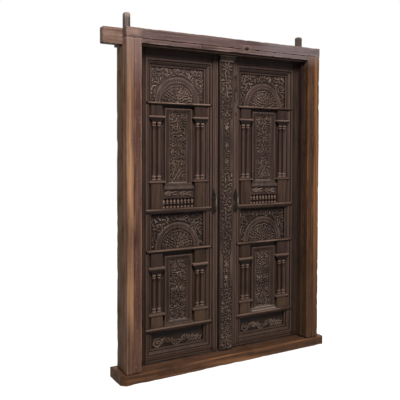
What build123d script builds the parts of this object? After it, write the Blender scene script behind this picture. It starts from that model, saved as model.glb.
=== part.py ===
from build123d import *
import os
from math import cos, radians, sin

# A carved double-leaf door in its frame. Lengths are in millimetres.
# X runs along the wall, Y goes through it to the back, Z is up.
# The origin is in the middle of the sill's underside.
# Depths are counted back from the front of the side casings.

# Fits
running_gap = 0.5
seat_gap = 0.3
stop_gap = 1
leaf_gap = 8
hang_gap = 15
overrun = 20

# Sill
sill_height = 67
sill_proud = 4
sill_left_reach = 33
sill_right_reach = 48
sill_corner = 35
sill_edge = 6

# Jambs and casings
jamb_width = 120
jamb_lip = 24
jamb_depth = 110
stop_thickness = 48
casing_width = 106
casing_thickness = 55
outer_band = 51
band_groove = 4
band_groove_depth = 8
inner_band_set_back = 3
casing_edge = 5

# Head of the frame
beam_height = 102
beam_thickness = 70
horn_length = 129
horn_set_back = 12
horn_edge = 5
rail_cover = 40
leaf_rebate = 8
head_casing_height = 64
head_strip_height = 31
head_strip_set_back = 5

# Leaf pivots
pivot_edge = 30
neck_diameter = 54
pin_diameter = 40
socket_depth = 38
head_side = 38
head_lift = 12
head_chamfer = 7
left_head_height = 124
right_head_height = 104
post_front_round = 30
post_back_round = 14

# Leaf plan
astragal_reach = 48
field_width = 500
outer_stile_width = 49.4
post_width = 88
post_depth = 91
leaf_thickness = 46
panel_recess = 30
board_thickness = 14
rail_recess = 12
stile_groove = 3
stile_groove_depth = 4
stile_groove_shares = (0.2, 0.43)
reed_width = 13.4
reed_count = 3
reed_facets = 5
reed_base = 2
reed_rise = 6
reed_offset = 0.5
reed_margin = 2.9
meeting_bevel = 3

# Leaf heights, from the sill up
leaf_bottom_gap = 9
leaf_top_gap = 4
bottom_rail_height = 36
top_rail_height = 67
base_zone_height = 158
base_ledge_height = 32
lower_ledge_height = 22
middle_ledge_height = 32
upper_ledge_height = 19
lower_crown = 68
upper_crown = 61

# Ledges
ledge_reach = 11
ledge_nose = 9
ledge_undercut = 12
upper_ledge_inset = 12
lower_ledge_inset = 7

# Field moulding, from the stile to the panel
moulding_width = 50
moulding_rise = 6
moulding_width_shares = (0.0, 0.24, 0.36, 0.66, 0.78, 1.0)
moulding_height_shares = (1.0, 1.0, 0.72, 0.50, 0.30, 0.22)

# Paired columns
pair_inset = 84
column_spacing = 38
shaft_diameter = 24
shaft_board_gap = 1
shaft_sides = 8
ring_diameter = 30
ring_height = 14
collar_diameter = 29
collar_height = 10
block_width = 84
pedestal_width = 86
block_depth = 24
pedestal_depth = 27
abacus_width = 118
abacus_depth = 34
bell_width = 72
bell_depth = 26
base_plate_width = 122
base_plate_depth = 35
base_plate_slope_share = 0.45
upper_pedestal_height = 173
upper_base_height = 18
upper_shaft_height = 375
upper_capital_height = 36
upper_abacus_height = 14
upper_block_height = 71
lower_pedestal_height = 81
lower_base_height = 23
lower_shaft_height = 244
lower_capital_height = 40
lower_abacus_height = 18
lower_block_height = 92

# Niches, gallery and friezes
niche_gap = 2
niche_side_bar = 35
niche_top_bar = 36
niche_foot_bar = 9
niche_depth = 17
niche_bevel = 26
niche_bevel_depth = 9
niche_ground = 4
niche_sill_reach = 9
niche_sill_depth = 31
upper_niche_sill_height = 40
lower_niche_sill_height = 24
upper_niche_clear = 18
lower_niche_clear = 26
spindle_height = 65
spindle_count = 9
spindle_fill_share = 0.63
spindle_height_shares = (0.0, 0.16, 0.45, 0.8, 1.0)
spindle_width_shares = (1.0, 0.6, 1.0, 0.5, 0.95)
gallery_height = 62
gallery_gap = 1
gallery_depth = 16

# Carving
relief = 8
low_relief = 5
leaf_belly_share = 0.38
arch_inset = 5
arch_margin = 32
arch_sides = 20
arch_band = 22
arch_channel = 5
arch_bead = 6
arch_cove = 12
fan_count = 9
fan_hub = 30
fan_gap = 7
hub_sides = 10
fan_fill_share = 0.62
crest_leaf = 56
crest_leaf_width = 24
crest_clear = 6
crest_angle_shares = (0.16, 0.30, 0.42)
rosette_leaf_count = 4
rosette_leaf = 34
rosette_leaf_width = 14
rosette_eye = 7
corner_x_share = 0.77
corner_clear = 3
vine_leaf_share = 0.74
vine_width_share = 0.44
vine_pitch = 66
vine_angle = 38
vine_stem = 8
frieze_leaf = 58
frieze_leaf_width = 26
frieze_pitch = 40
frieze_lean = 24
frieze_margin = 18
gallery_leaf = 24
gallery_leaf_width = 15
gallery_pitch = 24
gallery_margin = 4

# Astragal on the right leaf
astragal_width = 110
astragal_thickness = 29
astragal_ground = 7
astragal_fillet = 11
narrow_fillet = 33
astragal_leaf = 46
astragal_leaf_width = 24
narrow_leaf = 34
narrow_leaf_width = 16
astragal_pitch = 80
cap_height = 46
cap_reach = 8
cap_proud = 6
wide_stretch_shares = ((0.0, 0.215), (0.372, 0.604), (0.782, 0.953))
narrow_stretch_shares = ((0.215, 0.372), (0.604, 0.782))
rosette_share = 0.976

# Pull handles, forged iron
pull_margin = 16
pull_rise = 33
pull_length = 124
pull_bar = 9
pull_reach = 36
pull_corner = 14
plate_length = 186
plate_width = 34
plate_thickness = 4
plate_waist_share = 0.4

# Door chain, forged iron
chain_margin = 20
staple_drop = 140
staple_bar = 6
staple_width = 24
staple_clear = 4
link_length = 97
link_width = 26
link_bar = 6
link_corner = 6
link_play = 0.6
forged_sides = 6

# Worked out: plan of the frame and the leaves
reeds_width = reed_width * reed_count
right_reeds_start = astragal_width - astragal_reach + reed_offset
left_reeds_start = astragal_reach + leaf_gap
meeting_margin = max(right_reeds_start, left_reeds_start) + reeds_width + reed_margin
field_half = field_width / 2
field_centre = meeting_margin + field_half
post_inner = meeting_margin + field_width + outer_stile_width
post_outer = post_inner + post_width
rebate_wall = post_outer + hang_gap
frame_half = rebate_wall + jamb_lip
frame_width = 2 * frame_half
casing_inner = frame_half - casing_width
jamb_inner = frame_half - jamb_width
pivot_x = post_outer - pivot_edge
left_meeting_edge = -astragal_reach - leaf_gap
right_meeting_edge = -astragal_reach
pair_offset = field_half - pair_inset
housing_half = pair_offset + max(base_plate_width, abacus_width) / 2
niche_half = pair_offset - max(base_plate_width, abacus_width) / 2 - niche_gap
niche_inner = niche_half - niche_side_bar
gallery_half = pair_offset - pedestal_width / 2 - gallery_gap
spindle_width = spindle_fill_share * 2 * gallery_half / spindle_count
panel_half = field_half - moulding_width
arch_half = panel_half - arch_margin

# Worked out: depths
stop_depth = casing_thickness + stop_thickness
leaf_front = stop_depth + stop_gap
leaf_back = leaf_front + leaf_thickness
board_front = leaf_front + panel_recess
board_back = board_front + board_thickness
post_back = leaf_front + post_depth
pivot_depth = post_back - pivot_edge
beam_back = casing_thickness + beam_thickness
rail_back = pivot_depth + rail_cover
jamb_back = casing_thickness + jamb_depth
rail_front = leaf_front + rail_recess
reed_front = leaf_front - reed_base - reed_rise
column_depth = board_front - shaft_board_gap - ring_diameter / 2
middle_depth = (rail_back - sill_proud) / 2
pivot_y = pivot_depth - middle_depth

# Worked out: heights
lower_arch_height = arch_inset + arch_half + lower_crown
upper_arch_height = arch_inset + arch_half + upper_crown + moulding_width
leaf_bottom = sill_height + leaf_bottom_gap
field_bottom = leaf_bottom + bottom_rail_height
base_ledge_bottom = field_bottom + base_zone_height
lower_tier_bottom = base_ledge_bottom + base_ledge_height
lower_tier_heights = (
    lower_pedestal_height,
    lower_base_height,
    lower_shaft_height,
    lower_capital_height,
    lower_abacus_height,
    lower_block_height,
)
lower_ledge_bottom = lower_tier_bottom + sum(lower_tier_heights)
lower_arch_bottom = lower_ledge_bottom + lower_ledge_height
middle_ledge_bottom = lower_arch_bottom + lower_arch_height
upper_tier_bottom = middle_ledge_bottom + middle_ledge_height
upper_tier_heights = (
    upper_pedestal_height,
    upper_base_height,
    upper_shaft_height,
    upper_capital_height,
    upper_abacus_height,
    upper_block_height,
)
upper_ledge_bottom = upper_tier_bottom + sum(upper_tier_heights)
upper_arch_bottom = upper_ledge_bottom + upper_ledge_height
field_top = upper_arch_bottom + upper_arch_height
leaf_top = field_top + top_rail_height
leaf_height = leaf_top - leaf_bottom
rebate_top = leaf_top + leaf_top_gap
beam_bottom = rebate_top - leaf_rebate
frame_top = beam_bottom + beam_height
trim_top = beam_bottom - leaf_top_gap
head_casing_bottom = frame_top - head_casing_height
pull_height = upper_tier_bottom + pull_rise
staple_height = trim_top - staple_drop
staple_reach = link_width / 2 + staple_bar / 2 + staple_clear

# One row for each ledge: underside, height and half length
ledge_rows = (
    (base_ledge_bottom, base_ledge_height, field_half),
    (lower_ledge_bottom, lower_ledge_height, field_half - lower_ledge_inset),
    (middle_ledge_bottom, middle_ledge_height, field_half),
    (upper_ledge_bottom, upper_ledge_height, field_half - upper_ledge_inset),
)
tier_rows = (
    (lower_tier_bottom, lower_tier_heights),
    (upper_tier_bottom, upper_tier_heights),
)

os.makedirs("parts", exist_ok=True)


def keep(piece, name):
    """Label a finished piece and write it."""
    piece.part.label = name
    export_step(piece.part, f"parts/{name}.step")


def face_at(depth):
    """An upright plane at a depth, seen from the front: x along X, y up."""
    return Plane.XZ.offset(middle_depth - depth)


def slab(x_centre, width, bottom, top, front, back, mode=Mode.ADD):
    """An upright board from its middle and width, two heights and two depths."""
    with BuildSketch(face_at(front)) as outline:
        with Locations((x_centre, (bottom + top) / 2)):
            Rectangle(width, top - bottom)
    extrude(outline.sketch, amount=front - back, mode=mode)


def plan_outline(points, height):
    """A flat outline of (x, depth) points, laid level at a height."""
    with BuildSketch(Plane.XY.offset(height)) as outline:
        with BuildLine():
            Polyline(*[(x, depth - middle_depth) for x, depth in points], close=True)
        make_face()
    return outline.sketch


def profiled_blocks(middles, profiles):
    """Blocks on the board, cut to a front and a side view; a row is height, width and depth."""
    deepest = max(depth for rows in profiles for height, width, depth in rows)
    board_y = board_front - middle_depth
    with BuildSketch(face_at(board_front)) as front_view:
        for rows in profiles:
            for x in middles:
                right_edge = [(x + width / 2, height) for height, width, depth in rows]
                left_edge = [(x - width / 2, height) for height, width, depth in reversed(rows)]
                Polygon(*right_edge, *left_edge, align=None)
    extrude(front_view.sketch, amount=deepest)
    with BuildSketch(Plane.YZ) as side_view:
        for rows in profiles:
            front_edge = [(board_y - depth, height) for height, width, depth in reversed(rows)]
            Polygon((board_y, rows[0][0]), (board_y, rows[-1][0]), *front_edge, align=None)
    extrude(side_view.sketch, amount=frame_half, both=True, mode=Mode.INTERSECT)


def leaf_outline(length, width):
    """A carved leaf: pointed at both ends, widest at its belly."""
    belly = length * leaf_belly_share
    return ((0, 0), (belly, -width / 2), (length, 0), (belly, width / 2))


def carve_leaves(depth, rows, height):
    """Raise leaves from a ground; a row is x, z, angle, length and width."""
    with BuildSketch(face_at(depth)) as carving:
        for x, z, angle, length, width in rows:
            with Locations(Location((x, z, 0), (0, 0, angle))):
                Polygon(*leaf_outline(length, width), align=None)
    extrude(carving.sketch, amount=height)


def carve_arch_band(x_centre, bottom, outer, inner, sides, height):
    """Raise a half ring that stands on a level line."""
    with BuildSketch(face_at(board_front)) as band:
        with Locations((x_centre, bottom)):
            RegularPolygon(outer, sides)
            RegularPolygon(inner, sides, mode=Mode.SUBTRACT)
            Rectangle(2 * outer, outer, align=(Align.CENTER, Align.MAX), mode=Mode.SUBTRACT)
    extrude(band.sketch, amount=height)


def fan_rows(x_centre, bottom, hub, rim):
    """Leaves that spread from the foot of an arch to its inner band."""
    step = radians(180 / fan_count)
    width = fan_fill_share * step * rim
    rows = []
    for number in range(fan_count):
        turn = step * (number + 0.5)
        x = x_centre + hub * cos(turn)
        z = bottom + hub * sin(turn)
        rows.append((x, z, (number + 0.5) * 180 / fan_count, rim - hub, width))
    return rows


def crest_rows(x_centre, bottom, rim):
    """Leaves that lie along the outside of an arch, pointing up to its crown."""
    rows = []
    for share in crest_angle_shares:
        turn = radians(180 * share)
        for hand in (1, -1):
            x = x_centre + hand * rim * cos(turn)
            z = bottom + rim * sin(turn)
            lean = 90 + 180 * share
            angle = lean if hand > 0 else 180 - lean
            rows.append((x, z, angle, crest_leaf, crest_leaf_width))
    return rows


def rosette_rows(x_centre, height):
    """Leaves that spread round an eye."""
    rows = []
    for number in range(rosette_leaf_count):
        angle = 360 * number / rosette_leaf_count + 90
        x = x_centre + rosette_eye * cos(radians(angle))
        z = height + rosette_eye * sin(radians(angle))
        rows.append((x, z, angle, rosette_leaf, rosette_leaf_width))
    return rows


def vine_rows(x_centre, bottom, top, leaf, leaf_width, pitch):
    """Pairs of leaves that climb a stem, as many as the height takes."""
    count = max(1, int((top - bottom) / pitch))
    rows = []
    for number in range(count):
        z = bottom + (top - bottom) * (number + 0.25) / count
        for angle in (vine_angle, 180 - vine_angle):
            rows.append((x_centre, z, angle, leaf, leaf_width))
    return rows


def scroll_rows(x_centre, height, half, pitch, lean, leaf, leaf_width):
    """A running row of leaves that lean up and down by turns."""
    count = max(1, int(2 * half / pitch))
    rows = []
    for number in range(count):
        x = x_centre - half + 2 * half * (number + 0.5) / count
        angle = lean if number % 2 else 180 - lean
        x_start = x - leaf / 2 * cos(radians(angle))
        z_start = height - leaf / 2 * sin(radians(angle))
        rows.append((x_start, z_start, angle, leaf, leaf_width))
    return rows


# Frame
with BuildPart() as sill:
    sill_left = -frame_half - sill_left_reach
    sill_right = frame_half + sill_right_reach
    sill_plan = plan_outline(
        (
            (sill_left, rail_back),
            (sill_left, sill_corner - sill_proud),
            (sill_left + sill_corner, -sill_proud),
            (sill_right, -sill_proud),
            (sill_right, rail_back),
        ),
        0,
    )
    extrude(sill_plan, amount=sill_height)
    front_edges = sill.edges().filter_by(Axis.X).group_by(Axis.Y)[0]
    chamfer(front_edges.sort_by(Axis.Z)[-1], length=sill_edge)
    with Locations((-pivot_x, pivot_y, sill_height), (pivot_x, pivot_y, sill_height)):
        Hole(radius=pin_diameter / 2 + running_gap, depth=socket_depth)
keep(sill, "sill")

for side_name, side in (("left", -1), ("right", 1)):
    with BuildPart() as jamb:
        jamb_plan = plan_outline(
            (
                (side * frame_half, casing_thickness),
                (side * frame_half, jamb_back),
                (side * rebate_wall, jamb_back),
                (side * rebate_wall, stop_depth),
                (side * jamb_inner, stop_depth),
                (side * jamb_inner, casing_thickness),
            ),
            sill_height,
        )
        extrude(jamb_plan, amount=beam_bottom - sill_height)
    keep(jamb, f"{side_name}_jamb")

    with BuildPart() as casing:
        groove_outer = frame_half - outer_band
        groove_inner = groove_outer - band_groove
        casing_plan = plan_outline(
            (
                (side * frame_half, casing_thickness),
                (side * frame_half, 0),
                (side * groove_outer, 0),
                (side * groove_outer, band_groove_depth),
                (side * groove_inner, band_groove_depth),
                (side * groove_inner, inner_band_set_back),
                (side * casing_inner, inner_band_set_back),
                (side * casing_inner, casing_thickness),
            ),
            sill_height,
        )
        extrude(casing_plan, amount=head_casing_bottom - sill_height)
        uprights = casing.edges().filter_by(Axis.Z)
        chamfer(uprights.group_by(Axis.Y)[0].sort_by(Axis.X)[:: side][-1], length=casing_edge)
    keep(casing, f"{side_name}_casing")

with BuildPart() as head_casing:
    slab(0, frame_width, head_casing_bottom, frame_top, 0, casing_thickness)
    front_edges = head_casing.edges().filter_by(Axis.X).group_by(Axis.Y)[0]
    chamfer(front_edges, length=casing_edge)
keep(head_casing, "head_casing")

with BuildPart() as head_strip:
    strip_bottom = head_casing_bottom - head_strip_height
    slab(0, 2 * casing_inner, strip_bottom, head_casing_bottom, head_strip_set_back, casing_thickness)
    front_edges = head_strip.edges().filter_by(Axis.X).group_by(Axis.Y)[0]
    chamfer(front_edges, length=casing_edge)
keep(head_strip, "head_strip")

with BuildPart() as lintel_beam:
    slab(0, frame_width, beam_bottom, frame_top, casing_thickness, beam_back)
    horn_middle = -frame_half - horn_length / 2
    horn_front = casing_thickness + horn_set_back
    slab(horn_middle, horn_length, beam_bottom, frame_top, horn_front, beam_back)
    horn_end = lintel_beam.faces().sort_by(Axis.X)[0]
    chamfer(horn_end.edges(), length=horn_edge)
    slab(0, 2 * rebate_wall, beam_bottom, rebate_top, stop_depth, beam_back, Mode.SUBTRACT)
keep(lintel_beam, "lintel_beam")

with BuildPart() as pivot_rail:
    slab(0, frame_width, beam_bottom, frame_top, beam_back, rail_back)
    slab(0, 2 * rebate_wall, beam_bottom, rebate_top, beam_back, rail_back, Mode.SUBTRACT)
    with Locations((-pivot_x, pivot_y, frame_top), (pivot_x, pivot_y, frame_top)):
        Hole(radius=neck_diameter / 2 + running_gap)
keep(pivot_rail, "pivot_rail")

# Leaves
leaf_sides = (
    ("left", -1, left_meeting_edge, left_head_height),
    ("right", 1, right_meeting_edge, right_head_height),
)
for side_name, side, meeting_edge, head_height in leaf_sides:
    centre = side * field_centre
    leaf_middle = (leaf_bottom + leaf_top) / 2

    # The post that carries the leaf: pin, neck and squared head in one piece
    with BuildPart() as hanging_post:
        with BuildSketch(Plane.XY.offset(leaf_bottom)):
            post_middle = (leaf_front + post_back) / 2 - middle_depth
            with Locations((side * (post_inner + post_outer) / 2, post_middle)):
                Rectangle(post_width, post_depth)
        extrude(amount=leaf_height)
        outer_edges = hanging_post.edges().filter_by(Axis.Z).group_by(Axis.X)[-1 if side > 0 else 0]
        fillet(outer_edges.sort_by(Axis.Y)[0], radius=post_front_round)
        outer_edges = hanging_post.edges().filter_by(Axis.Z).sort_by(Axis.Y).group_by(Axis.Y)[-1]
        fillet(outer_edges.sort_by(Axis.X)[-1 if side > 0 else 0], radius=post_back_round)
        with BuildSketch(Plane.XY.offset(leaf_bottom)):
            with Locations((side * pivot_x, pivot_y)):
                Circle(pin_diameter / 2)
        extrude(amount=sill_height - socket_depth + seat_gap - leaf_bottom)
        with BuildSketch(Plane.XY.offset(leaf_top)):
            with Locations((side * pivot_x, pivot_y)):
                Circle(neck_diameter / 2)
        extrude(amount=frame_top + head_lift - leaf_top)
        with BuildSketch(Plane.XY.offset(frame_top + head_lift)):
            with Locations((side * pivot_x, pivot_y)):
                Rectangle(head_side, head_side)
        extrude(amount=head_height - head_lift)
        chamfer(hanging_post.faces().sort_by(Axis.Z)[-1].edges(), length=head_chamfer)
    keep(hanging_post, f"{side_name}_hanging_post")

    with BuildPart() as outer_stile:
        stile_middle = side * (post_inner - outer_stile_width / 2)
        slab(stile_middle, outer_stile_width, leaf_bottom, leaf_top, leaf_front, leaf_back)
        for share in stile_groove_shares:
            groove_x = side * (post_inner - outer_stile_width * (1 - share))
            groove_back = leaf_front + stile_groove_depth
            slab(groove_x, stile_groove, leaf_bottom, leaf_top, leaf_front, groove_back, Mode.SUBTRACT)
    keep(outer_stile, f"{side_name}_outer_stile")

    # The meeting edge leans towards the other leaf at the back, where the swing needs less room
    with BuildPart() as meeting_stile:
        bevelled_edge = meeting_edge - side * meeting_bevel
        stile_plan = plan_outline(
            (
                (side * meeting_margin, leaf_front),
                (side * meeting_margin, leaf_back),
                (bevelled_edge, leaf_back),
                (meeting_edge, leaf_front),
            ),
            leaf_bottom,
        )
        extrude(stile_plan, amount=leaf_height)
    keep(meeting_stile, f"{side_name}_meeting_stile")

    # Reeds side by side, each a faceted half round on a thin base
    with BuildPart() as reeded_strip:
        reeds_left = right_reeds_start if side > 0 else -left_reeds_start - reeds_width
        reed_back_y = leaf_front - middle_depth
        reed_edge_y = reed_back_y - reed_base
        crest = []
        for number in range(reed_count):
            reed_middle = reeds_left + (number + 0.5) * reed_width
            for facet in range(reed_facets):
                turn = radians(180 * facet / reed_facets)
                crest.append((reed_middle - reed_width / 2 * cos(turn), reed_edge_y - reed_rise * sin(turn)))
        with BuildSketch(Plane.XY.offset(leaf_bottom)):
            with BuildLine():
                Polyline(
                    *crest,
                    (reeds_left + reeds_width, reed_edge_y),
                    (reeds_left + reeds_width, reed_back_y),
                    (reeds_left, reed_back_y),
                    close=True,
                )
            make_face()
        extrude(amount=trim_top - leaf_bottom)
    keep(reeded_strip, f"{side_name}_reeded_strip")

    with BuildPart() as rails:
        slab(centre, field_width, field_top, leaf_top, leaf_front, leaf_back)
        slab(centre, field_width, leaf_bottom, field_bottom, leaf_front, leaf_back)
        for bottom, height, half in ledge_rows:
            slab(centre, field_width, bottom, bottom + height, rail_front, leaf_back)
    keep(rails, f"{side_name}_rails")

    # A profile carried round the field, cut where the ledges cross and housed round the columns
    with BuildPart() as field_moulding:
        run_y = board_front - middle_depth
        with BuildLine() as run:
            Polyline(
                (centre, run_y, field_bottom),
                (centre + field_half, run_y, field_bottom),
                (centre + field_half, run_y, field_top),
                (centre - field_half, run_y, field_top),
                (centre - field_half, run_y, field_bottom),
                (centre, run_y, field_bottom),
            )
        moulding_height = panel_recess + moulding_rise
        across = Plane(origin=(centre, run_y, field_bottom), x_dir=(0, 0, 1), z_dir=(1, 0, 0))
        steps = list(zip(moulding_width_shares, moulding_height_shares))
        with BuildSketch(across):
            with BuildLine():
                Polyline(
                    (0, 0),
                    *[(moulding_width * wide, moulding_height * high) for wide, high in steps],
                    (moulding_width, 0),
                    close=True,
                )
            make_face()
        sweep(path=run.wires()[0], transition=Transition.RIGHT)
        cut_front = leaf_front - moulding_rise - overrun
        for bottom, height, half in ledge_rows:
            slab(centre, 2 * half, bottom, bottom + height, cut_front, board_front, Mode.SUBTRACT)
            slab(centre, field_width, bottom, bottom + height, rail_front, board_front, Mode.SUBTRACT)
        for bottom, heights in tier_rows:
            foot_top = bottom + heights[0] + heights[1]
            capital_bottom = bottom + sum(heights[:3])
            tier_top = bottom + sum(heights)
            for low, high in ((bottom, foot_top), (capital_bottom, tier_top)):
                slab(centre, 2 * housing_half, low, high, cut_front, board_front, Mode.SUBTRACT)
    keep(field_moulding, f"{side_name}_field_moulding")

    # Small cornices: a square nose over a sloped underside
    with BuildPart() as ledges:
        for bottom, height, half in ledge_rows:
            top = bottom + height
            ledge_back_y = rail_front - middle_depth
            nose_y = leaf_front - ledge_reach - middle_depth
            with BuildSketch(Plane.YZ.offset(centre)):
                with BuildLine():
                    Polyline(
                        (ledge_back_y, bottom),
                        (ledge_back_y, top),
                        (nose_y, top),
                        (nose_y, top - ledge_nose),
                        (nose_y + ledge_undercut, bottom),
                        close=True,
                    )
                make_face()
            extrude(amount=half, both=True)
    keep(ledges, f"{side_name}_ledges")

    # Boards carved with an arch, a fan and leaf scrolls
    arch_rows = (
        ("upper", upper_arch_bottom, upper_arch_height, moulding_width),
        ("lower", lower_arch_bottom, lower_arch_height, 0),
    )
    for tier_name, bottom, height, cover in arch_rows:
        with BuildPart() as arch_panel:
            slab(centre, field_width, bottom, bottom + height, board_front, board_back)
            spring = bottom + arch_inset
            bead_half = arch_half - arch_band - arch_channel
            carve_arch_band(centre, spring, arch_half, arch_half - arch_band, arch_sides, relief)
            carve_arch_band(centre, spring, bead_half, bead_half - arch_bead, arch_sides, low_relief)
            rim = bead_half - arch_bead - arch_cove
            carve_leaves(board_front, fan_rows(centre, spring, fan_hub, rim), relief)
            carve_arch_band(centre, spring, fan_hub - fan_gap, fan_gap, hub_sides, relief)
            crest = arch_half + crest_leaf_width / 2 + crest_clear
            carve_leaves(board_front, crest_rows(centre, spring, crest), relief)
            corner_height = bottom + height - cover - rosette_eye - rosette_leaf - corner_clear
            for hand in (1, -1):
                corner_x = centre + hand * corner_x_share * panel_half
                carve_leaves(board_front, rosette_rows(corner_x, corner_height), low_relief)
        keep(arch_panel, f"{side_name}_{tier_name}_arch_panel")

    with BuildPart() as field_boards:
        for bottom, heights in tier_rows:
            slab(centre, field_width, bottom, bottom + sum(heights), board_front, board_back)
    keep(field_boards, f"{side_name}_field_boards")

    with BuildPart() as base_frieze_panel:
        slab(centre, field_width, field_bottom, base_ledge_bottom, board_front, board_back)
        frieze_half = panel_half - frieze_margin
        frieze_middle = (field_bottom + moulding_width + base_ledge_bottom) / 2
        scrolls = scroll_rows(
            centre, frieze_middle, frieze_half, frieze_pitch, frieze_lean, frieze_leaf, frieze_leaf_width
        )
        carve_leaves(board_front, scrolls, relief)
    keep(base_frieze_panel, f"{side_name}_base_frieze_panel")

    # Paired columns of both tiers
    pair_middles = (centre - pair_offset, centre + pair_offset)
    with BuildPart() as column_pedestals:
        for bottom, heights in tier_rows:
            for x in pair_middles:
                top = bottom + heights[0]
                slab(x, pedestal_width, bottom, top, board_front - pedestal_depth, board_front)
    keep(column_pedestals, f"{side_name}_column_pedestals")

    with BuildPart() as column_bases:
        base_profiles = []
        for bottom, heights in tier_rows:
            low = bottom + heights[0]
            high = low + heights[1]
            plate_top = high - base_plate_slope_share * heights[1]
            base_profiles.append(
                (
                    (low, base_plate_width, base_plate_depth),
                    (plate_top, base_plate_width, base_plate_depth),
                    (high, pedestal_width, pedestal_depth),
                )
            )
        profiled_blocks(pair_middles, base_profiles)
    keep(column_bases, f"{side_name}_column_bases")

    # Eight-sided shafts between a foot ring and a collar
    with BuildPart() as column_shafts:
        shaft_xs = [x + hand * column_spacing / 2 for x in pair_middles for hand in (-1, 1)]
        for bottom, heights in tier_rows:
            low = bottom + heights[0] + heights[1]
            high = low + heights[2]
            shaft_steps = (
                (low, low + ring_height, ring_diameter),
                (low + ring_height, high - collar_height, shaft_diameter),
                (high - collar_height, high, collar_diameter),
            )
            for step_low, step_high, diameter in shaft_steps:
                with BuildSketch(Plane.XY.offset(step_low)):
                    with Locations(*[(x, column_depth - middle_depth) for x in shaft_xs]):
                        RegularPolygon(diameter / 2, shaft_sides)
                extrude(amount=step_high - step_low)
    keep(column_shafts, f"{side_name}_column_shafts")

    with BuildPart() as column_capitals:
        capital_profiles = []
        for bottom, heights in tier_rows:
            low = bottom + sum(heights[:3])
            neck = low + heights[3]
            capital_profiles.append(
                (
                    (low, bell_width, bell_depth),
                    (neck, abacus_width, abacus_depth),
                    (neck + heights[4], abacus_width, abacus_depth),
                )
            )
        profiled_blocks(pair_middles, capital_profiles)
    keep(column_capitals, f"{side_name}_column_capitals")

    with BuildPart() as column_blocks:
        for bottom, heights in tier_rows:
            low = bottom + sum(heights[:5])
            for x in pair_middles:
                slab(x, block_width, low, low + heights[5], board_front - block_depth, board_front)
    keep(column_blocks, f"{side_name}_column_blocks")

    # Niches between the columns, each on a flared sill, with a bevel down to the panel
    niche_rows = (
        (
            lower_tier_bottom,
            lower_niche_sill_height,
            lower_tier_bottom + sum(lower_tier_heights) - lower_niche_clear,
        ),
        (
            upper_tier_bottom + spindle_height + gallery_height,
            upper_niche_sill_height,
            upper_tier_bottom + sum(upper_tier_heights) - upper_niche_clear,
        ),
    )
    with BuildPart() as niche_frames:
        niche_profiles = []
        for bottom, sill_rise, top in niche_rows:
            niche_profiles.append(
                (
                    (bottom, 2 * (niche_half + niche_sill_reach), niche_sill_depth),
                    (bottom + sill_rise, 2 * niche_half, niche_depth),
                    (top, 2 * niche_half, niche_depth),
                )
            )
        profiled_blocks((centre,), niche_profiles)
        for bottom, sill_rise, top in niche_rows:
            hole_bottom = bottom + sill_rise + niche_foot_bar
            hole_top = top - niche_top_bar
            hole_front = board_front - niche_depth
            slab(centre, 2 * niche_inner, hole_bottom, hole_top, hole_front, board_front, Mode.SUBTRACT)
        for face in niche_frames.faces().filter_by(Axis.Y).group_by(Axis.Y)[0]:
            rim_edges = face.inner_wires()[0].edges().sort_by(Axis.Z)
            chamfer(rim_edges[1:], length=niche_bevel, length2=niche_bevel_depth, reference=face)
    keep(niche_frames, f"{side_name}_niche_frames")

    with BuildPart() as niche_panels:
        for bottom, sill_rise, top in niche_rows:
            low = bottom + sill_rise + niche_foot_bar
            high = top - niche_top_bar
            ground = board_front - niche_ground
            slab(centre, 2 * niche_inner, low, high, ground, board_front)
            vine_leaf = vine_leaf_share * niche_inner
            vine = vine_rows(centre, low, high, vine_leaf, vine_width_share * vine_leaf, vine_pitch)
            slab(centre, vine_stem, low, high, ground - relief, ground)
            carve_leaves(ground, vine, relief)
    keep(niche_panels, f"{side_name}_niche_panels")

    # A carved strip over a row of small turned spindles
    with BuildPart() as gallery_frieze:
        low = upper_tier_bottom + spindle_height
        gallery_front = board_front - gallery_depth
        slab(centre, 2 * gallery_half, low, low + gallery_height, gallery_front, board_front)
        gallery_middle = low + gallery_height / 2
        leaves_half = gallery_half - gallery_margin
        leaves = scroll_rows(
            centre, gallery_middle, leaves_half, gallery_pitch, frieze_lean, gallery_leaf, gallery_leaf_width
        )
        carve_leaves(gallery_front, leaves, low_relief)
    keep(gallery_frieze, f"{side_name}_gallery_frieze")

    with BuildPart() as gallery_spindles:
        spindle_step = 2 * gallery_half / spindle_count
        spindle_xs = [
            centre - gallery_half + (number + 0.5) * spindle_step for number in range(spindle_count)
        ]
        spindle_profile = []
        for height_share, width_share in zip(spindle_height_shares, spindle_width_shares):
            width = width_share * spindle_width
            spindle_profile.append((upper_tier_bottom + height_share * spindle_height, width, width))
        profiled_blocks(spindle_xs, [spindle_profile])
    keep(gallery_spindles, f"{side_name}_gallery_spindles")

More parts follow.
